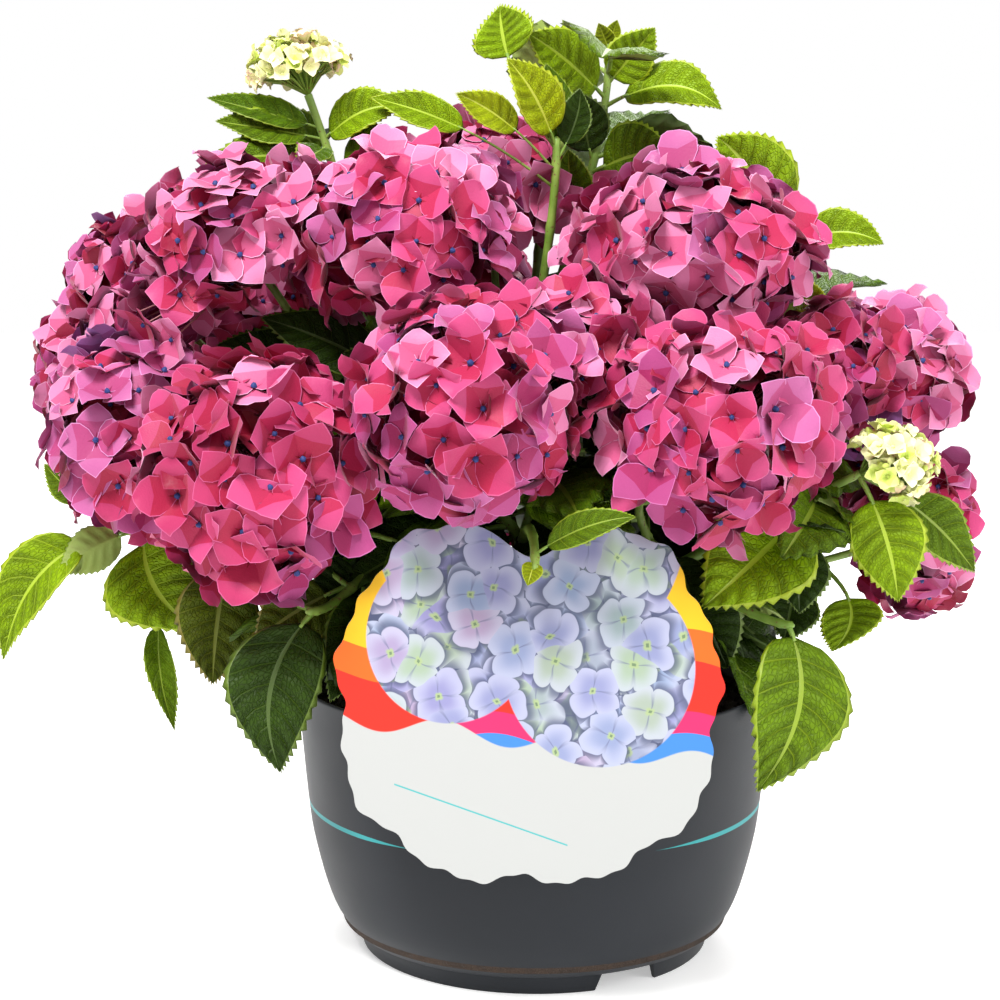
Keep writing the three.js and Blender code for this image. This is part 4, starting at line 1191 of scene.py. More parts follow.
fine_grid = leaf_grid(4, (-1, -0.93, -0.66, -0.35, -0.05, 0.05, 0.35, 0.66, 0.93, 1),
                      (0, 0.4, 1, 0.9, 0, 0, 0.9, 1, 0.4, 0),
                      (EDGE, BLADE, BLADE, BLADE, RIB, BLADE, BLADE, BLADE, EDGE))
plain_grid = leaf_grid(2, (-1, -0.55, -0.05, 0.05, 0.55, 1), (0, 1, 0, 0, 1, 0),
                       (BLADE, BLADE, RIB, BLADE, BLADE))
print("leaf faces", len(fine_grid["faces"]), len(plain_grid["faces"]))

# %% [markdown]
# A leaf is placed by a row of facts: where its stalk starts, where its tip is, how wide it
# is, how its middle bows and where its upper side faces. The grid is then bent along that
# rib, folded a little, twisted, and lifted between its veins.

# %% One leaf
STALK_SHARE = 0.2  # of the leaf's length
LEAF_THICKNESS = 0.45
TOOTH = (0.03, 0.022)  # outwards, of the width, and forwards, of the length
QUILTING = 0.05  # height of the bulges between the veins, of the width
WAVINESS = 0.035  # of the edge, of the width
RIB_DEPTH = 0.9
SMALL_HALF_WIDTH = 8  # narrower parts have lower relief
RIB_STEPS = 40
STALK_RINGS = 6
STALK_SIDES = 6
STALK_RADII = (1.25, 0.85)


def chance(n):
    """A repeatable number from 0 to 1 for each whole number."""
    wave = math.sin(n * 12.9898 + 78.233) * 43758.5453
    return wave - math.floor(wave)


def leaf_row(tip_from_foot, width, bow, face, stalk=STALK_SHARE):
    """What places a leaf: its run, its width, how its middle bows, and where it faces."""
    length = np.linalg.norm(tip_from_foot)
    way = tip_from_foot / length
    face = unit(np.array(face, float) - way * way.dot(face))
    return {"way": way, "length": length, "width": width, "bow": np.array(bow, float),
            "face": face, "side": np.cross(way, face), "stalk": stalk}


def rib_of(foot, row, s):
    s = np.atleast_1d(s)[:, None]
    return foot + row["way"] * s * row["length"] + row["bow"] * 4 * s * (1 - s)


def leaf_mesh(foot, row, grid, seed, fold, twist):
    """Points of one leaf's shell, and its stalk."""
    width, stalk = row["width"], row["stalk"]
    share = np.linspace(0, 1, RIB_STEPS + 1)
    line = rib_of(foot, row, stalk + (1 - stalk) * share)
    tangent = np.gradient(line, axis=0)
    tangent /= np.linalg.norm(tangent, axis=1)[:, None]
    across = np.broadcast_to(row["side"], line.shape)
    lift = np.cross(across, tangent)
    angle = np.radians(twist) * share[:, None]
    across, lift = (across * np.cos(angle) + lift * np.sin(angle),
                    lift * np.cos(angle) - across * np.sin(angle))

    def at(values):
        """The values along the rib, at each point's own share of the blade."""
        return np.stack([np.interp(grid["run"], share, values[:, k]) for k in range(3)], -1)

    v, half = grid["v"], grid["wide"] * width / 2
    small = np.minimum(1, half / SMALL_HALF_WIDTH)
    x = half * v + np.sign(v) * grid["tooth"] * TOOTH[0] * width * small
    wave = np.sin(2 * np.pi * (1.7 * grid["run"] + chance(seed)) + np.sign(v) * 1.3) * v ** 2
    z = (fold * np.abs(x) + QUILTING * width * grid["bulge"] * small
         + WAVINESS * width * wave * grid["wide"] - RIB_DEPTH * grid["rib"] * small)
    forward = grid["tooth"] * TOOTH[1] * row["length"]
    top = (at(line) + at(across) * x[..., None] + at(lift) * z[..., None]
           + at(tangent) * forward[..., None])
    below = top - at(lift) * LEAF_THICKNESS
    points = np.vstack([top.reshape(-1, 3), below[~grid["border"]]])
    thin = max(0.8, min(1.5, width / 28))
    stem = rib_of(foot, row, np.linspace(0, stalk + 0.03, STALK_RINGS)) - row["face"] * 0.5
    return points, tube(stem, np.linspace(*STALK_RADII, STALK_RINGS) * thin, STALK_SIDES)

# %% Leaves that give the crown its outline
# place on the shoot, the leaf's tip, its width, how its middle bows, where its upper side
# faces, its look, its fold and twist, and the stalk's share of its length
LEADING_LEAVES = {
    "top_tall": [
        (0.86, (-4, 28, 521), 36, (0, -3, 3), (0, -1, 0.45), "fresh", 0.2, 10, 0.12),
        (0.84, (107, 40, 479), 32, (4, -4, 13), (0, -1, 0.7), "fresh", 0.2, 0, 0.14),
        (0.89, (69, 50, 525), 28, (0, -2, 0), (0.1, -1, 0.1), "fresh", 0.2, 0, 0.12),
        (0.97, (37, 58, 528), 12, (0, 0, 0), (0, -1, 0), "young", 0.3, 0, 0.1),
        (0.99, (48, 62, 530), 9, (0, 0, 0), (0, -1, 0), "young", 0.3, 0, 0.1),
        (0.68, (79, 30, 455), 40, (0, -3, 4), (0, -1, 0.35), "bright", 0.16, 0, 0.15),
        (0.7, (23, 44, 489), 30, (0, 0, 3), (0.1, -1, 0.2), "dark", 0.16, 0, 0.15),
        (0.55, (67, 22, 420), 34, (0, 0, 5), (0, -1, 0.4), "mid", 0.16, 0, 0.2),
        (0.52, (19, 30, 456), 26, (0, 0, 3), (0.2, -1, 0.1), "mid", 0.16, 0, 0.2)],
    "top_fork": [
        (0.97, (-20, 24, 536), 36, (-8, 0, 2), (0.1, -1, 0.0), "fresh", 0.15, 0, 0.62),
        (0.97, (-16, 0, 506), 28, (2, -4, 4), (0.25, -1, 0.1), "young", 0.45, -10, 0.14),
        (0.9, (-44, -8, 487), 20, (0, -2, 6), (0, -1, 0.5), "young", 0.3, 20, 0.4),
        (0.95, (6, 26, 504), 22, (3, 0, 2), (0.1, -1, 0.1), "mid", 0.2, 0, 0.12),
        (0.93, (25, 16, 490), 20, (4, 0, 2), (-0.3, -1, 0.1), "dark", 0.3, 0, 0.2),
        (0.85, (-92, 10, 485), 22, (0, -2, 8), (0, -1, 0.6), "fresh", 0.2, 0, 0.5)],
    "unripe_left": [
        (0.99, (-185, 18, 485), 20, (0, -2, 1), (0, -1, 0.8), "mid", 0.2, 0, 0.1),
        (0.96, (-180, 14, 472), 24, (0, -2, 1), (0, -1, 0.7), "bright", 0.2, 0, 0.15),
        (0.96, (-75, 16, 480), 28, (0, -2, 7), (0, -1, 0.6), "fresh", 0.2, 0, 0.06),
        (0.88, (-188, 2, 444), 30, (0, -3, 9), (0, -1, 0.7), "bright", 0.2, 0, 0.12),
        (0.94, (-131, -10, 446), 20, (0, -2, 2), (0, -1, 0.5), "mid", 0.2, 0, 0.12),
        (0.88, (-75, 8, 462), 26, (0, -2, 5), (0, -1, 0.7), "bright", 0.2, 0, 0.15),
        (0.9, (-159, 60, 478), 24, (0, 0, 4), (0, -1, 0.5), "bright", 0.2, 0, 0.15)],
    "right_leafy": [
        (0.97, (104, 26, 463), 50, (0, -3, 9), (0.15, -1, 0.25), "fresh", 0.16, 0, 0.1),
        (0.97, (202, 40, 402), 28, (2, -3, 8), (0, -1, 0.7), "fresh", 0.25, 0, 0.12),
        (0.93, (127, 96, 442), 34, (0, 0, 4), (0, -1, 0.3), "mid", 0.16, 0, 0.15),
        (0.75, (168, 20, 371), 22, (0, 0, 4), (0.2, -1, 0.4), "young", 0.2, 0, 0.2)],
    "left_leafy": [
        (0.98, (-306, -6, 166), 36, (-12, -4, 16), (-0.25, -1, 0.35), "fresh", 0.5, 0, 0.25),
        (0.95, (-271, -12, 218), 26, (-2, -2, 3), (0.1, 1, -0.2), "bright", 0.2, 0, 0.2),
        (0.93, (-190, -26, 188), 58, (-9, -6, -3), (0.05, -1, 0.25), "fresh", 0.14, 0, 0.1),
        (0.99, (-282, 10, 277), 17, (-3, 0, -2), (-0.2, -1, 0.2), "bright", 0.3, 0, 0.5),
        (0.75, (-207, -16, 127), 17, (-12, -2, 2), (-0.3, -1, 0.1), "bright", 0.5, 70, 0.5)],
    "left_side": [
        (0.97, (-180, -52, 163), 46, (-4, -4, 0), (0.05, -1, 0.2), "olive", 0.14, 0, 0.42)],
    "left_skirt": [
        (0.95, (-136, -126, 133), 50, (-13, -8, 4), (0.12, -1, 0.15), "dark", 0.16, 0, 0.08),
        (0.4, (-152, -86, 195), 40, (0, -4, 4), (0, -1, 0.25), "olive", 0.14, 0, 0.3),
        (0.3, (-110, -112, 168), 34, (3, -3, 2), (0.3, -1, 0.1), "dark", 0.2, 0, 0.2),
        (0.2, (-119, -70, 207), 44, (0, -3, 2), (0, -1, 0.2), "dark", 0.2, 0, 0.2)],
    "right_skirt": [
        (0.98, (116, -128, 123), 52, (13, -8, 2), (0.1, -1, 0.12), "bright", 0.16, 0, 0.07),
        (0.2, (105, -66, 175), 40, (0, -3, 2), (0, -1, 0.2), "dark", 0.2, 0, 0.2)],
    "unripe_right": [
        (0.9, (88, -104, 217), 60, (6, -6, 5), (0, -1, 0.45), "fresh", 0.14, 0, 0.28),
        (1.15, (197, -72, 214), 42, (3, -6, 2), (0.05, -1, 0.3), "fresh", 0.16, 0, 0.22),
        (1.15, (246, -34, 223), 32, (4, -4, 5), (0.2, -1, 0.45), "bright", 0.16, 0, 0.35),
        (0.8, (143, -76, 208), 34, (0, -3, 2), (0.1, -1, 0.2), "dark", 0.16, 0, 0.4)],
    "right_low": [
        (0.92, (173, 6, 168), 36, (15, -3, 0), (0.05, -1, 0.2), "fresh", 0.2, 0, 0.4),
        (0.75, (143, -10, 178), 34, (0, -3, 0), (0, -1, 0.2), "dark", 0.16, 0, 0.3)],
    "top_back": [
        (0.96, (-42, 128, 470), 34, (0, 4, 6), (-0.2, 1, 0.6), "bright", 0.2, 0, 0.12),
        (0.96, (52, 132, 466), 34, (0, 4, 6), (0.2, 1, 0.6), "fresh", 0.2, 0, 0.12),
        (0.9, (4, 168, 446), 38, (0, 2, 8), (0, 0.6, 1), "mid", 0.16, 0, 0.12),
        (0.98, (14, 96, 486), 22, (0, 2, 0), (0, 1, 0.3), "young", 0.3, 0, 0.1)],
    "front_stub": [
        (0.9, (48, -160, 275), 17, (0, -3, 5), (0, -1, 0.5), "bright", 0.2, 0, 0.12),
        (0.95, (-6, -156, 239), 11, (0, -2, 1), (0, -1, 0.1), "young", 0.3, 0, 0.1)],
    "front_right": [
        (0.5, (82, -96, 207), 26, (8, 0, 2), (0.3, -1, 0.2), "dark", 0.3, 0, 0.3)],
    "upper_left": [
        (0.6, (-151, -34, 365), 34, (0, 0, 6), (0, -1, 0.5), "dark", 0.14, 0, 0.3),
        (0.45, (-105, -46, 347), 42, (0, 0, 4), (0, -1, 0.6), "dark", 0.14, 0, 0.3)],
    "left_shoulder": [
        (0.6, (-177, -24, 349), 34, (0, 0, 4), (0, -1, 0.5), "dark", 0.14, 0, 0.3)],
    "front_middle": [
        (0.6, (39, -96, 273), 30, (0, 0, 4), (0, -1, 0.4), "dark", 0.14, 0, 0.3)],
}
leaf_rows = []  # cane, foot, row, look, fold and twist, whether one of a pair, seed
for name, rows in LEADING_LEAVES.items():
    for number, (place, tip, width, bow, face, look, fold, twist, stalk) in enumerate(rows):
        foot = along(shoots[name]["path"], place)
        row = leaf_row(np.array(tip) - foot, width, bow, face, stalk)
        leaf_rows.append((shoots[name]["cane"], foot, row, look, (fold, twist), False,
                          7 * number + len(name)))
print("leading leaves", len(leaf_rows))

# %% [markdown]
# All the other leaves follow the growth rule of a hydrangea: they stand in opposite pairs,
# and each pair is turned against the last one. Shoots carry them at their knots and canes
# near their upper ends. Every leaf varies by its own seed.

# %% Leaf pairs
# swing: degrees off the bearing of the stem, for the even and the odd pairs, and how much
# more; rise: degrees at most, and how much less; length: at least, and how much more
SHOOT_PAIRS = {"swing": (35, 95, 20), "rise": (18, 40), "length": (72, 30),
               "looks": ("mid", "dark", "mid", "bright", "bright", "olive", "dark", "mid")}
CANE_PAIRS = {"swing": (25, 70, 30), "rise": (4, 44), "length": (80, 34),
              "looks": ("dark", "dark", "dark", "dark", "mid")}
PAIR_WIDTH_SHARE = 0.62
PAIR_BOW = 0.1
CANE_LEAF_PLACES = (0.5, 0.78, 0.98)
CANE_SEEDS = 5000  # so that canes and shoots never share one
SHOOT_PROBE, CANE_PROBE = 0.02, 0.05  # shares of the stem, to tell which way it runs
FACE_OUT = 0.8  # how far a pair faces outwards, against 1 upwards


def pair_row(foot, heading, rise, length):
    a, b = math.radians(heading), math.radians(rise)
    way = np.array([math.cos(b) * math.cos(a), math.cos(b) * math.sin(a), math.sin(b)])
    face = FACE_OUT * unit((foot[0], foot[1], 0)) + (0, 0, 1)
    bow = unit(face - way * way.dot(face)) * PAIR_BOW * length
    return leaf_row(way * length, PAIR_WIDTH_SHARE * length, bow, face)


def add_pair(cane, foot, way, pair, rule, first_seed):
    """Two opposite leaves, on either side of the way that the stem runs."""
    bearing = math.degrees(math.atan2(way[1], way[0]))
    for seed, side in ((first_seed, -1), (first_seed + 1, 1)):
        swing = rule["swing"][pair % 2] + rule["swing"][2] * chance(seed)
        row = pair_row(foot, bearing + side * swing,
                       rule["rise"][0] - rule["rise"][1] * chance(seed + 3),
                       rule["length"][0] + rule["length"][1] * chance(seed + 5))
        look = rule["looks"][int(len(rule["looks"]) * chance(seed + 7))]
        leaf_rows.append((cane, foot, row, look, None, True, seed))


for number, shoot in enumerate(shoots.values()):
    for pair, place in enumerate(PAIR_PLACES):
        behind, foot, ahead = [along(shoot["path"], place + step)
                               for step in (-SHOOT_PROBE, 0, SHOOT_PROBE)]
        add_pair(shoot["cane"], foot, ahead - behind, pair, SHOOT_PAIRS,
                 100 * number + 10 * (pair - 1))
for number, (name, cane) in enumerate(canes.items()):
    for pair, place in enumerate(CANE_LEAF_PLACES):
        foot = along(cane["path"], place)
        behind = along(cane["path"], place - CANE_PROBE)
        add_pair(name, foot, foot - behind, pair, CANE_PAIRS,
                 CANE_SEEDS + 100 * number + 10 * pair)
print("leaves to place", len(leaf_rows))

# %% Room for a leaf
TEST_PLACES = (0.35, 0.5, 0.65, 0.8, 1.0)  # along a leaf
TEST_WIDTH = 0.42  # of its width, to either side
CARD_MIDDLE = -4
CARD_ROOM_TOP = 268
CARD_ROOM_WIDE, CARD_ROOM_CLOSE = (96, 2), (99, 1)  # half width, gap behind the card
PRINT_FOOT = 76  # lower down the pairs may hang over the card
POT_ROOM = (150, 139)  # below this height, no leaf comes this near to the axis
GROUND_ROOM = 14
PAIR_ROOM, LEADING_ROOM = 0.88, 0.3  # shares of a head's radius that leaves keep out of
BOX_ROOM = 8
SKIRT_REACH = 172  # a pair lower down than this far out has dropped off
SKIRT_HEIGHT = 250


def before_card(spots, half_width, gap):
    """Which spots lie before the card, or less than a gap behind it."""
    back = rim_front + (spots[:, 2] - POT_HEIGHT) * math.tan(CARD_LEAN)
    return ((np.abs(spots[:, 0] - CARD_MIDDLE) < half_width) & (spots[:, 2] < CARD_ROOM_TOP)
            & (spots[:, 1] < back + gap))


def has_room(foot, row, is_pair):
    """Whether a leaf keeps out of the heads, the pot and the card."""
    middle = rib_of(foot, row, np.array(TEST_PLACES))
    wide = row["side"] * row["width"] * TEST_WIDTH
    spots = np.vstack([middle, middle[:3] + wide, middle[:3] - wide])
    room = PAIR_ROOM if is_pair else LEADING_ROOM
    for head in heads.values():
        if (np.linalg.norm(spots - head["centre"], axis=1) < room * head["radius"]).any():
            return False
    low, near = spots[:, 2] < POT_ROOM[0], np.hypot(spots[:, 0], spots[:, 1]) < POT_ROOM[1]
    if (low & near).any() or (spots[:, 2] < GROUND_ROOM).any():
        return False
    return not (is_pair and before_card(spots, *CARD_ROOM_WIDE).any())


def fits(foot, row, blade, is_pair):
    """Whether the finished blade stays in the plant's box, and a pair where pairs grow."""
    if (blade < low_corner - BOX_ROOM).any() or (blade > high_corner + BOX_ROOM).any():
        return False
    if not is_pair:
        return True
    tip = foot + row["way"] * row["length"]
    dropped = tip[2] < SKIRT_HEIGHT and np.hypot(tip[0], tip[1]) > SKIRT_REACH
    over_print = before_card(blade, *CARD_ROOM_CLOSE) & (blade[:, 2] > PRINT_FOOT)
    return not (dropped or over_print.any())


low_corner, high_corner = [np.array(c) / MM for c in cad_box]
leaf_sets = {name: [] for name in canes}
for cane, foot, row, look, bend, is_pair, seed in leaf_rows:
    if not has_room(foot, row, is_pair):
        continue
    fold, twist = bend or (0.10 + 0.12 * chance(seed + 11), 24 * (chance(seed + 13) - 0.5))
    grid = plain_grid if is_pair else fine_grid
    blade, stalk = leaf_mesh(foot, row, grid, seed, fold, twist)
    if fits(foot, row, blade, is_pair):
        leaf_sets[cane].append((blade, grid, look, stalk))
print("leaves", sum(len(v) for v in leaf_sets.values()), "of", len(leaf_rows))

# %% Foliage pieces
for name, leaves in leaf_sets.items():
    points, faces, worn, maps, start = [], [], [], [], 0
    for blade, grid, look, _ in leaves:
        first = 3 * LOOK_NAMES.index(look)
        under = UNDER_PALE + (0 if look in ("young", "bright") else 1)
        points.append(blade)
        faces.append(grid["faces"] + start)
        worn += [grid["parts"] + first, np.full(len(grid["parts"]), under)]
        maps.append(grid["uv"])
        start += len(blade)
    made = piece_of(f"leaves_{name}", np.vstack(points), np.vstack(faces), leaf_finishes,
                    np.concatenate(worn), np.vstack(maps))
    settle(made, "leaf", f"foliage_{name}")
    twigs = stems(f"shoots_{name}", stem_lines[name], shoot_green)
    extra = joined(f"stalks_{name}", [leaf[3] for leaf in leaves], shoot_green)
    work = bmesh.new()
    work.from_mesh(twigs.data)
    work.from_mesh(extra.data)
    work.to_mesh(twigs.data)
    work.free()
    bpy.data.objects.remove(extra)
    settle(twigs, "leaf", f"foliage_{name}")
print("leaf masses", len(leaf_sets))

# %% [markdown]
# ## Blossom
# A mophead is a ball of small stalked flowers. Each has four broad sepals, laid in two
# crossed pairs, and a slate-blue bead in the middle. The outer ones touch and overlap, and
# smaller ones fill the gaps behind them.
#
# One floret is a few dozen faces: four bent grids and a bead. A Geometry Nodes tree copies
# five such florets onto a ball of seats, turns each to face outwards, leans and spins it
# by a fixed seed, and makes the copies real. The colours are plain: every face knows its
# zone on the sepal, from the heart to the pale rim, and every seat knows its tint, so the
# tree can give each zone of each tint its own finish.

# %% Petal finishes
TINTS = {  # heart, blade, shoulder and rim of the sepals
    "rose": ((132, 10, 38), (160, 32, 70), (175, 60, 106), (188, 92, 134)),
    "raspberry": ((118, 6, 28), (146, 22, 56), (160, 44, 86), (176, 74, 116)),
    "pink": ((150, 38, 78), (184, 80, 120), (194, 112, 150), (212, 146, 180)),
    "magenta": ((116, 14, 50), (144, 38, 84), (154, 62, 112), (174, 94, 144)),
    "mauve": ((124, 30, 72), (156, 60, 106), (166, 84, 132), (188, 122, 168)),
    "violet": ((98, 36, 84), (126, 62, 118), (138, 86, 144), (172, 128, 180)),
    # deep is painted shade, for florets inside the ball
    "deep": ((106, 2, 20), (128, 7, 38), (128, 15, 48), (140, 32, 68)),
}
BEAD_COLOUR = (44, 58, 112)
ZONES = ("heart", "blade", "shoulder", "rim", "bead")


def petal_finish(name, tone):
    made, tree, shader = finish_of(name, colour(*tone), 0.5, Sheen_Weight=0.13,
                                   Sheen_Roughness=0.4, Specular_IOR_Level=0.2)
    add_grain(tree, shader, 900.0, 0.3, 0.0006, 2.0)
    return made


petal_finishes = [petal_finish(f"petal_{tint}_{zone}", tone) for tint, tones in TINTS.items()
                  for zone, tone in zip(ZONES, tones)]
bead_finish = petal_finish("petal_bead", BEAD_COLOUR)
print("petal finishes", len(petal_finishes) + 1)

# %% One floret
SEPAL_SIDE = ((0.06, 0.02), (0.34, 0.15), (0.53, 0.36), (0.55, 0.57), (0.39, 0.79), (0.17, 0.97))
SEPAL_TIP = 1.09
SEPAL_RIB = (0.25, 0.52, 0.80)
SEPAL_RIM = 0.955  # where the pale rim begins, from the middle of the sepal
SEPAL_MIDDLE = 0.5
SEPAL_SHAPES = {  # rise at the tip, fold along the rib, curl of the tip, unevenness, seed
    "open": (0.34, 0.16, -0.16, 0.7, 39), "cupped": (0.62, 0.24, -0.22, 0.6, 55),
    "flat": (0.14, 0.2, -0.16, 0.9, 39), "bell": (0.9, 0.3, -0.3, 0.5, 39),
    "swept": (0.46, -0.12, -0.1, 1.4, 47)}
BEAD_HEIGHT = 0.09
BEAD_SIDES = 5


def sepal(turn, rise, fold, curl, raised, lean):
    """Points and zones of one sepal that points along a turn round the floret."""
    count = len(SEPAL_SIDE)
    edge = [*SEPAL_SIDE, (0, SEPAL_TIP), *[(-x, y) for x, y in SEPAL_SIDE[::-1]]]
    inner = [(x * SEPAL_RIM, SEPAL_MIDDLE + (y - SEPAL_MIDDLE) * SEPAL_RIM) for x, y in edge]
    flat = edge + inner + [(0, y) for y in SEPAL_RIB]
    points = []
    for x, y in flat:
        z = (rise * max(y, 0) ** 1.3 + fold * abs(x) ** 1.2 + curl * y ** 4 + lean * x + raised
             + 0.06 * math.sin(7 * x + 4 * y + 9 * lean) * y ** 2)
        points.append((x * math.cos(turn) - y * math.sin(turn),
                       x * math.sin(turn) + y * math.cos(turn), z))
    n = len(edge)
    low, middle, high = (2 * n + i for i in range(3))
    faces = [(i + 1, i, n + i, n + i + 1)[::-1] for i in range(n - 1)]
    zones = [ZONES.index("rim")] * len(faces)
    right = [n + i for i in range(count + 1)]
    left = [2 * n - 1 - i for i in range(count + 1)]
    faces.append((left[0], right[0], low))
    for at, ends in ((slice(0, 3), (low,)), (slice(2, 4), (middle, low)),
                     (slice(3, 5), (high, middle)), (slice(4, 6), (high,)), (slice(5, 7), (high,))):
        faces += [(*right[at], *ends), (*left[at][::-1], *ends[::-1])]
    zones += [ZONES.index("heart")] + 4 * [ZONES.index("blade")] + 6 * [ZONES.index("shoulder")]
    return points, faces, zones


def floret(name, shape, bead_radius):
    """Four sepals in two crossed pairs, and a bead."""
    rise, fold, curl, unevenness, seed = shape
    points, faces, zones = [], [], []
    for k in range(4):
        uneven = unevenness * (chance(31 * k + seed) - 0.5)
        some_points, some_faces, some_zones = sepal(
            k * math.pi / 2 + 0.25 * uneven, rise * (1 + 0.8 * uneven), fold * (1 - 0.6 * uneven),
            curl, 0.04 * (k % 2), 0.35 * uneven)
        faces += [tuple(len(points) + v for v in face) for face in some_faces]
        points += some_points
        zones += some_zones
    start = len(points)
    ring = [(bead_radius * math.cos(a), bead_radius * math.sin(a), BEAD_HEIGHT)
            for a in np.arange(BEAD_SIDES) * 2 * math.pi / BEAD_SIDES]
    top = [(0.6 * x, 0.6 * y, BEAD_HEIGHT + 0.9 * bead_radius) for x, y, _ in ring]
    points += [*ring, *top]
    for j in range(BEAD_SIDES):
        k = (j + 1) % BEAD_SIDES
        faces.append((start + j, start + k, start + BEAD_SIDES + k, start + BEAD_SIDES + j))
    faces.append(tuple(range(start + BEAD_SIDES, start + 2 * BEAD_SIDES)))
    zones += [ZONES.index("bead")] * (BEAD_SIDES + 1)
    made = piece_of(name, np.array(points) / MM, faces, [])
    layer = made.data.attributes.new("zone", "INT", "FACE")
    layer.data.foreach_set("value", zones)
    return made


florets = [floret(f"floret_{name}", shape, 0.1) for name, shape in SEPAL_SHAPES.items()]
print("floret faces", [len(made.data.polygons) for made in florets])

# %% [markdown]
# The tree below serves the ripe heads and the unripe ones: it takes the shapes to copy,
# their size, how far they may lean and a seed. The last part is a loop in Python, one Set
# Material for each zone of each tint, picked by a number that the faces carry.


# %% Tree that seats florets on a head
def seat_tree(name, finishes, shape_count):
    """Copies some shapes to the seats, and dresses the faces by tint and zone."""
    labels = [f"Shape {number}" for number in range(1, shape_count + 1)]
    tree, t_in, t_out = tree_of(name, [
        *[(label, "NodeSocketObject", None) for label in labels],
        ("Size", "NodeSocketFloat", 0.02), ("Lean", "NodeSocketFloat", 0.3),
        ("Seed", "NodeSocketInt", 1)])
    pick = node(tree, "GeometryNodeJoinGeometry")
    for label in labels:
        shape = node(tree, "GeometryNodeObjectInfo", {"Object": t_in.outputs[label]})
        one = node(tree, "GeometryNodeGeometryToInstance", (shape.outputs["Geometry"],))
        tree.links.new(one.outputs[0], pick.inputs[0])
    facing = node(tree, "FunctionNodeAlignRotationToVector", {
        "Vector": named(tree, "outward", "FLOAT_VECTOR")}, axis="Z")
    lean = node(tree, "FunctionNodeRandomValue", data_type="FLOAT_VECTOR")
    far = node(tree, "ShaderNodeCombineXYZ", (t_in.outputs["Lean"], t_in.outputs["Lean"], 3.14159))
    near = node(tree, "ShaderNodeVectorMath", (far.outputs[0], (-1.0, -1.0, -1.0)),
                operation="MULTIPLY")
    for socket, value in ((0, near.outputs[0]), (1, far.outputs[0])):
        plug(tree, lean.inputs[socket], value)
    plug(tree, lean.inputs["Seed"], t_in.outputs["Seed"])
    swing = node(tree, "FunctionNodeEulerToRotation", (lean.outputs[0],))
    turned_on = node(tree, "FunctionNodeRotateRotation",
                     {"Rotation": facing.outputs[0], "Rotate By": swing.outputs[0]},
                     rotation_space="LOCAL")
    size = maths(tree, "MULTIPLY", named(tree, "grow", "FLOAT"), t_in.outputs["Size"])
    copies = node(tree, "GeometryNodeInstanceOnPoints", {
        "Points": t_in.outputs[0], "Instance": pick.outputs[0], "Pick Instance": True,
        "Instance Index": named(tree, "shape", "INT"), "Rotation": turned_on.outputs[0],
        "Scale": size})
    flow = node(tree, "GeometryNodeRealizeInstances", (copies.outputs[0],)).outputs[0]
    first = maths(tree, "MULTIPLY", named(tree, "tint", "INT"), float(len(ZONES)))
    number = maths(tree, "ADD", first, named(tree, "zone", "INT"))
    for index, finish in enumerate(finishes):
        chosen = node(tree, "FunctionNodeCompare", {0: number, 1: float(index), "Epsilon": 0.1},
                      operation="EQUAL")
        worn = node(tree, "GeometryNodeSetMaterial", {
            "Geometry": flow, "Selection": chosen.outputs[0], "Material": finish})
        flow = worn.outputs[0]
    tree.links.new(flow, t_out.inputs[0])
    return tree


# each tint has four sepal zones, and the bead is the fifth
worn_finishes = []
for start in range(0, len(petal_finishes), 4):
    worn_finishes += [*petal_finishes[start:start + 4], bead_finish]
bloom_tree = seat_tree("seat_florets", worn_finishes, len(florets))
print("nodes", len(bloom_tree.nodes))

# %% [markdown]
# The seats follow the golden angle, which spreads them evenly over a ball's cap. Seats
# that would lie inside a neighbouring head are left out, so that two heads meet in a crease.

# %% Seats on a head
FLORET_EDGE = 122  # degrees from the head's axis to its last florets
FLORET_SPACING = 23.0
FLORET_SIZE = 17.8  # a sepal's length
SEAT_INSET = 9.5  # from the head's own surface to its outer seats
SEAT_LEAN = 0.5  # radians, to any side
HONEYCOMB = 0.866  # of the spacing squared, the room of one seat
UNEVEN_REACH = (-0.05, 0.03)
GOLDEN = math.pi * (3 - math.sqrt(5))


def seats_on(head, radius, spacing, edge, rng, jitter, flat=1.0):
    """Evenly spread places on a head's cap that aren't inside a neighbour."""
    cap = 1 - math.cos(math.radians(edge))
    count = max(6, int(2 * math.pi * radius ** 2 * cap / (HONEYCOMB * spacing ** 2)))
    up = 1 - (np.arange(count) + 0.5) / count * cap
    turn = GOLDEN * np.arange(count) + rng.uniform(0, 6.28)
    level = np.sqrt(1 - up ** 2)
    local = np.stack([level * np.cos(turn), level * np.sin(turn), up], 1)
    local += rng.normal(0, jitter * spacing / radius, local.shape)
    local /= np.linalg.norm(local, axis=1)[:, None]
    to_axis = np.array(Vector((0, 0, 1)).rotation_difference(Vector(head["axis"])).to_matrix())
    outward = local @ to_axis.T
    reach = (radius * (1 + rng.uniform(*UNEVEN_REACH, count)))[:, None]
    places = head["centre"] + outward * reach * (1, 1, flat)
    places = np.clip(places, low_corner + spacing, high_corner - 1.5 * spacing)
    outward = outward * (flat, flat, 1)
    outward /= np.linalg.norm(outward, axis=1)[:, None]
    keep = np.ones(count, bool)
    for other in heads.values():
        if other is head:
            continue
        across = other["centre"] - head["centre"]
        distance = np.linalg.norm(across)
        if distance > head["radius"] + other["radius"]:
            continue
        share = (distance + (head["radius"] ** 2 - other["radius"] ** 2) / distance) / 2
        keep &= (places - head["centre"]) @ (across / distance) < share + 1
    return places[keep], outward[keep], np.degrees(np.arccos(np.clip(local[keep, 2], -1, 1)))


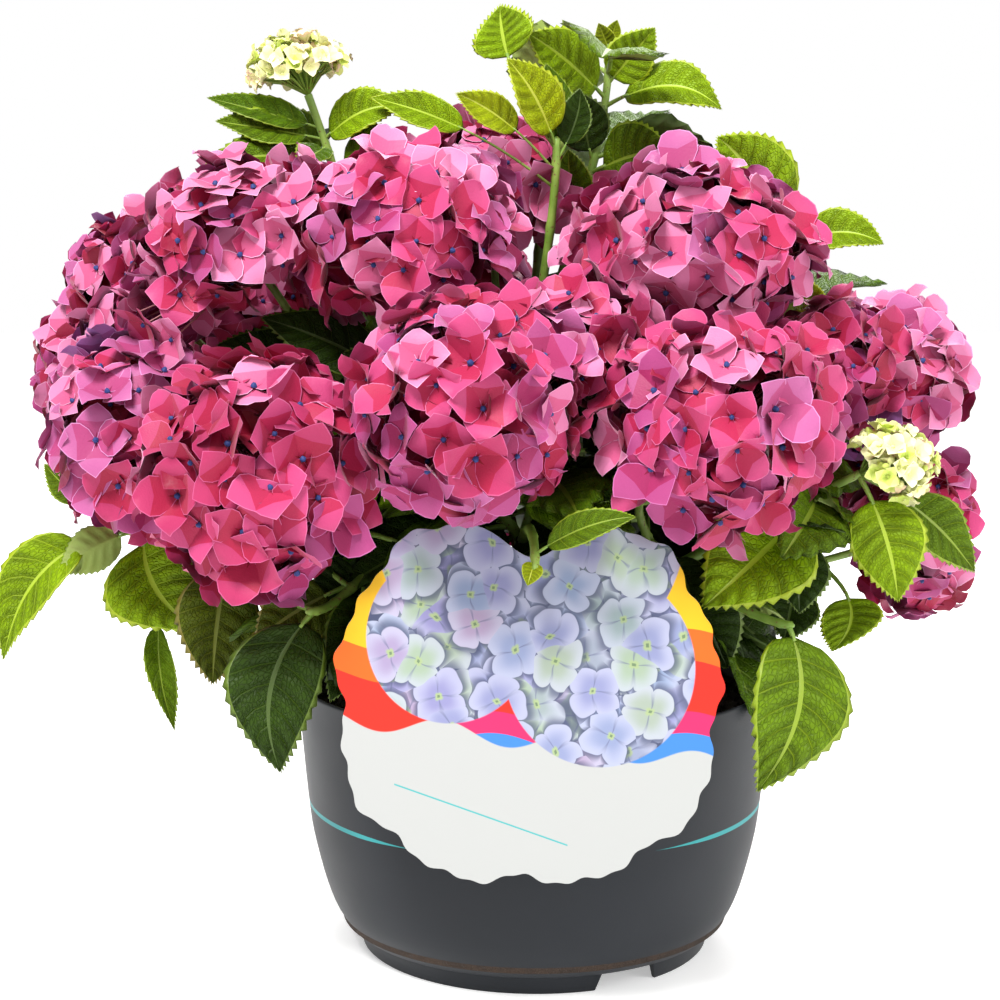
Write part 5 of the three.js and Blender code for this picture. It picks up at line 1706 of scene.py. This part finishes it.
def seat_object(name, places, outward, grow, tint, shape):
    mesh = bpy.data.meshes.new(name)
    mesh.from_pydata((places * MM).tolist(), [], [])
    for label, kind, values in (("outward", "FLOAT_VECTOR", outward), ("grow", "FLOAT", grow),
                                ("tint", "INT", tint), ("shape", "INT", shape)):
        layer = mesh.attributes.new(label, kind, "POINT")
        key = "vector" if kind == "FLOAT_VECTOR" else "value"
        layer.data.foreach_set(key, np.asarray(values).ravel())
    return linked(name, mesh)


def flower(seats, tree, shapes, size, seed):
    """Copies the shapes onto the seats."""
    values = {f"Shape {i + 1}": made for i, made in enumerate(shapes)}
    grow_with(seats, tree, {**values, "Size": size * MM, "Lean": SEAT_LEAN, "Seed": seed})
    shade_smooth(seats)


def floret_stalks(head, places, bend, rise, radii):
    """Lines from the hub inside a head out to its seats, each with a bend on the way."""
    hub = head["centre"] - STALK_TOP * head["radius"] * head["axis"]
    bends = [hub + bend * (place - hub) + rise * head["radius"] * head["axis"]
             for place in places]
    return [(np.array([hub, branch, place]), np.array(radii))
            for branch, place in zip(bends, places)]

# %% [markdown]
# Every head mixes its own tints. Ripe heads have two layers of florets, a paler one outside
# and a deeper one inside, whose deeper tints are painted shade, and small balls of florets
# close the creases between them. Florets that face downwards also take darker tints, as
# painted shade.

# %% Tints of the heads
# how common each tint is: rose, raspberry, pink, magenta, mauve, violet; the deep one
# is painted shade, kept for florets inside the ball
TINT_SHARES = {
    "usual": (0.42, 0.24, 0.16, 0.1, 0.08, 0.0),
    "violet": (0.18, 0.04, 0.32, 0.12, 0.28, 0.06),
    "red": (0.36, 0.46, 0.06, 0.1, 0.02, 0.0),
    "light": (0.24, 0.02, 0.54, 0.02, 0.18, 0.0),
    "pale": (0.08, 0.0, 0.52, 0.02, 0.34, 0.04),
}
# the light and pale mixes are partly painted light, on heads that the lamps reach less, and the red
# mix on the front left head is partly painted shade, where they reach most
HEAD_TINTS = {"left_high": "violet", "left_low": "violet", "left_side": "pale",
              "right_low": "violet", "right_high": "pale", "right_inner": "red",
              "front_left": "red", "front_middle": "light", "upper_right": "light",
              "top": "light", "left_shoulder": "light",
              "left_back": "violet", "right_back_low": "violet", "back_left_low": "violet"}
# the deep tint and the darker tints are painted shade, on florets inside the ball and on those that
# face down
INNER_SHADE_TINT = len(TINTS) - 1
SHADE_TINTS = (1, 3)  # raspberry and magenta, for florets inside and underneath
SHAPE_SHARES = (0.3, 0.24, 0.14, 0.14, 0.18)
print("heads with tints of their own", len(HEAD_TINTS))

# %% Ripe heads
# where two balls have grown into each other, a small one closes the crease between them:
# the ball it counts to, the neighbour, how far over to it, and the small ball's radius
CREASES = (("left_shoulder", "upper_left", 0.46, 40), ("left_high", "left_shoulder", 0.5, 38),
           ("left_side", "left_high", 0.5, 40), ("left_shoulder", "left_side", 0.42, 40),
           ("front_middle", "front", 0.42, 38), ("right_inner", "front_right", 0.5, 34),
           ("right_high", "right_inner", 0.5, 34), ("left_low", "left_side", 0.42, 34),
           ("top", "upper_left", 0.5, 36))
# a ripe ball sinks under its own weight: its height as a share of its width
HEAD_FLATNESS = {"upper_right": 0.76, "upper_left": 0.88, "top": 0.86, "left_shoulder": 0.9,
                 "front_right": 0.93, "right_high": 0.9, "back_middle": 0.9}
INNER_REACH = 0.68  # of the head's radius, the second layer of florets
CREASE_EDGE = 80  # degrees
STALKS_RIPE = (0.45, 0.12, (1.0, 0.75, 0.6))  # place and rise of the bend, and the radii
SIZE_BY_HEAD = (0.72, 0.28, 60)  # florets are a little smaller on heads under this radius
DROOP_START, DROOP_LIFT = 60, 0.10  # from this many degrees on they turn up again
UNDERSIDE = -0.25  # florets that face further down are in the shade
SHADE_SHARE, INNER_SHADE_SHARE = 0.7, 0.75
GROWTH, INNER_GROWTH = (0.84, 1.14), 0.9


def ripe_layers(name, spacing, rng):
    """Seats outside and inside a ball, and then on the small balls over its creases."""
    head, flat = heads[name], HEAD_FLATNESS.get(name, 1.0)
    layers = [seats_on(head, head["radius"] - SEAT_INSET, spacing, FLORET_EDGE, rng, 0.10, flat),
              seats_on(head, INNER_REACH * head["radius"], 0.9 * spacing, FLORET_EDGE + 12, rng,
                       0.2, flat)]
    for owner, other, share, radius in CREASES:
        if owner == name:
            middle = head["centre"] + share * (heads[other]["centre"] - head["centre"])
            crease = {"centre": middle, "radius": radius, "axis": unit(middle - PLANT_HEART)}
            layers.append(seats_on(crease, radius - SEAT_INSET / 2, spacing, CREASE_EDGE, rng,
                                   0.1))
    return layers


hub_lines = []
for number, name in enumerate(BLOOMS):
    head = heads[name]
    rng = np.random.default_rng(500 + number)
    size = FLORET_SIZE * (SIZE_BY_HEAD[0] + SIZE_BY_HEAD[1] * head["radius"] / SIZE_BY_HEAD[2])
    layers = ripe_layers(name, FLORET_SPACING * size / FLORET_SIZE, rng)
    places, outward = [np.vstack([layer[i] for layer in layers]) for i in (0, 1)]
    polar = np.concatenate([layer[2] for layer in layers])
    inside = np.repeat([i == 1 for i in range(len(layers))], [len(layer[0]) for layer in layers])
    count = len(places)
    outward = outward + DROOP_LIFT * np.array((0, 0, 1)) * (polar > DROOP_START)[:, None]
    outward /= np.linalg.norm(outward, axis=1)[:, None]
    shares = np.array(TINT_SHARES[HEAD_TINTS.get(name, "usual")])
    tint = rng.choice(len(shares), count, p=shares / shares.sum())
    # painted shade: florets inside the ball and those that face down take darker tints, and most of
    # those inside take the deep one
    darker = (inside | (outward[:, 2] < UNDERSIDE)) & (rng.random(count) < SHADE_SHARE)
    tint = np.where(darker, rng.choice(SHADE_TINTS, count), tint)
    tint = np.where(inside & (rng.random(count) < INNER_SHADE_SHARE), INNER_SHADE_TINT, tint)
    grow = rng.uniform(*GROWTH, count) * np.where(inside, INNER_GROWTH, 1)
    shape = rng.choice(len(florets), count, p=SHAPE_SHARES)
    seats = seat_object(f"bloom_{name}_florets", places, outward, grow, tint, shape)
    flower(seats, bloom_tree, florets, size, 40 + number)
    settle(seats, "petal", f"bloom_{name}")
    hub_lines += floret_stalks(head, places, *STALKS_RIPE)
print("ripe florets", len(hub_lines))

# %% Pedicels
pedicel_finish, pedicel_tree, pedicel_shader = finish_of("pedicel", colour(150, 92, 96), 0.6)
add_grain(pedicel_tree, pedicel_shader, 400.0, 0.2, 0.0004)
pedicels = stems("bloom_pedicels", hub_lines, pedicel_finish, sides=3)
settle(pedicels, "petal", *[f"bloom_{name}" for name in BLOOMS])
for made in florets:
    bpy.data.objects.remove(made)

# %% [markdown]
# ## Unripe heads
# Young heads are small domes of cream and lime florets, still cupped, with round buds
# between them. They are made by the same tree from other shapes: a small cup of four
# sepals, a tighter cup and a bud.

# %% Cups and buds
UNRIPE_TINTS = {"cream": ((196, 206, 110), (226, 228, 160), (232, 230, 176), (236, 232, 200)),
                "lime": ((160, 188, 66), (196, 212, 104), (212, 220, 128), (222, 224, 160)),
                "blush": ((194, 200, 104), (224, 218, 156), (230, 204, 170), (222, 172, 160))}
unripe_finishes = []
for tint, tones in UNRIPE_TINTS.items():
    unripe_finishes += [petal_finish(f"unripe_{tint}_{zone}", tone)
                        for zone, tone in zip(ZONES, tones)]
    unripe_finishes.append(petal_finish(f"unripe_{tint}_bead", tones[1]))
CUP_SHAPES = {"cup": (0.75, 0.5, -0.1, 0.4, 31), "tight": (1.15, 0.7, -0.35, 0.4, 47)}
cups = [floret(f"floret_{name}", shape, 0.2) for name, shape in CUP_SHAPES.items()]
bud_mesh = bmesh.new()
bmesh.ops.create_icosphere(bud_mesh, subdivisions=1, radius=0.42)
bud_data = bpy.data.meshes.new("floret_bud")
bud_mesh.to_mesh(bud_data)
bud_mesh.free()
bud_data.attributes.new("zone", "INT", "FACE").data.foreach_set(
    "value", [1] * len(bud_data.polygons))
cups.append(linked("floret_bud", bud_data))
unripe_tree = seat_tree("seat_cups", unripe_finishes, len(cups))
print("unripe finishes", len(unripe_finishes))

# %% Unripe heads
UNRIPE_SPACING = 7.6
UNRIPE_SIZE = 5.6
UNRIPE_FLATNESS = 0.7
UNRIPE_LAYERS = ((0.9, 94, 0.2), (0.7, 98, 0.25))  # share of the radius, edge, unevenness
STALKS_UNRIPE = (0.5, 0.1, (1.0, 0.7, 0.5))
cup_lines = []
for number, name in enumerate(UNRIPE_HEADS):
    head = heads[name]
    rng = np.random.default_rng(900 + number)
    layers = [seats_on(head, share * head["radius"], UNRIPE_SPACING, edge, rng, jitter,
                       UNRIPE_FLATNESS) for share, edge, jitter in UNRIPE_LAYERS]
    places, outward = [np.vstack([layer[i] for layer in layers]) for i in (0, 1)]
    count = len(places)
    tint = rng.choice(3, count, p=(0.45, 0.35, 0.2))
    seats = seat_object(f"head_{name}_florets", places, outward, rng.uniform(0.7, 1.3, count),
                        tint, rng.choice(3, count, p=(0.4, 0.3, 0.3)))
    flower(seats, unripe_tree, cups, UNRIPE_SIZE, 70 + number)
    settle(seats, "unripe", f"head_{name}")
    cup_lines += floret_stalks(head, places, *STALKS_UNRIPE)
cup_stalks = stems("head_pedicels", cup_lines, shoot_green, sides=3)
settle(cup_stalks, "unripe", *[f"head_{name}" for name in UNRIPE_HEADS])
for made in cups:
    bpy.data.objects.remove(made)
print("unripe florets", len(cup_lines))

# %% [markdown]
# ## Last count
# The script ends by printing how many faces the pieces have.

# %% Count the faces
print("faces in all", sum(len(p.data.polygons) for p in made_pieces))
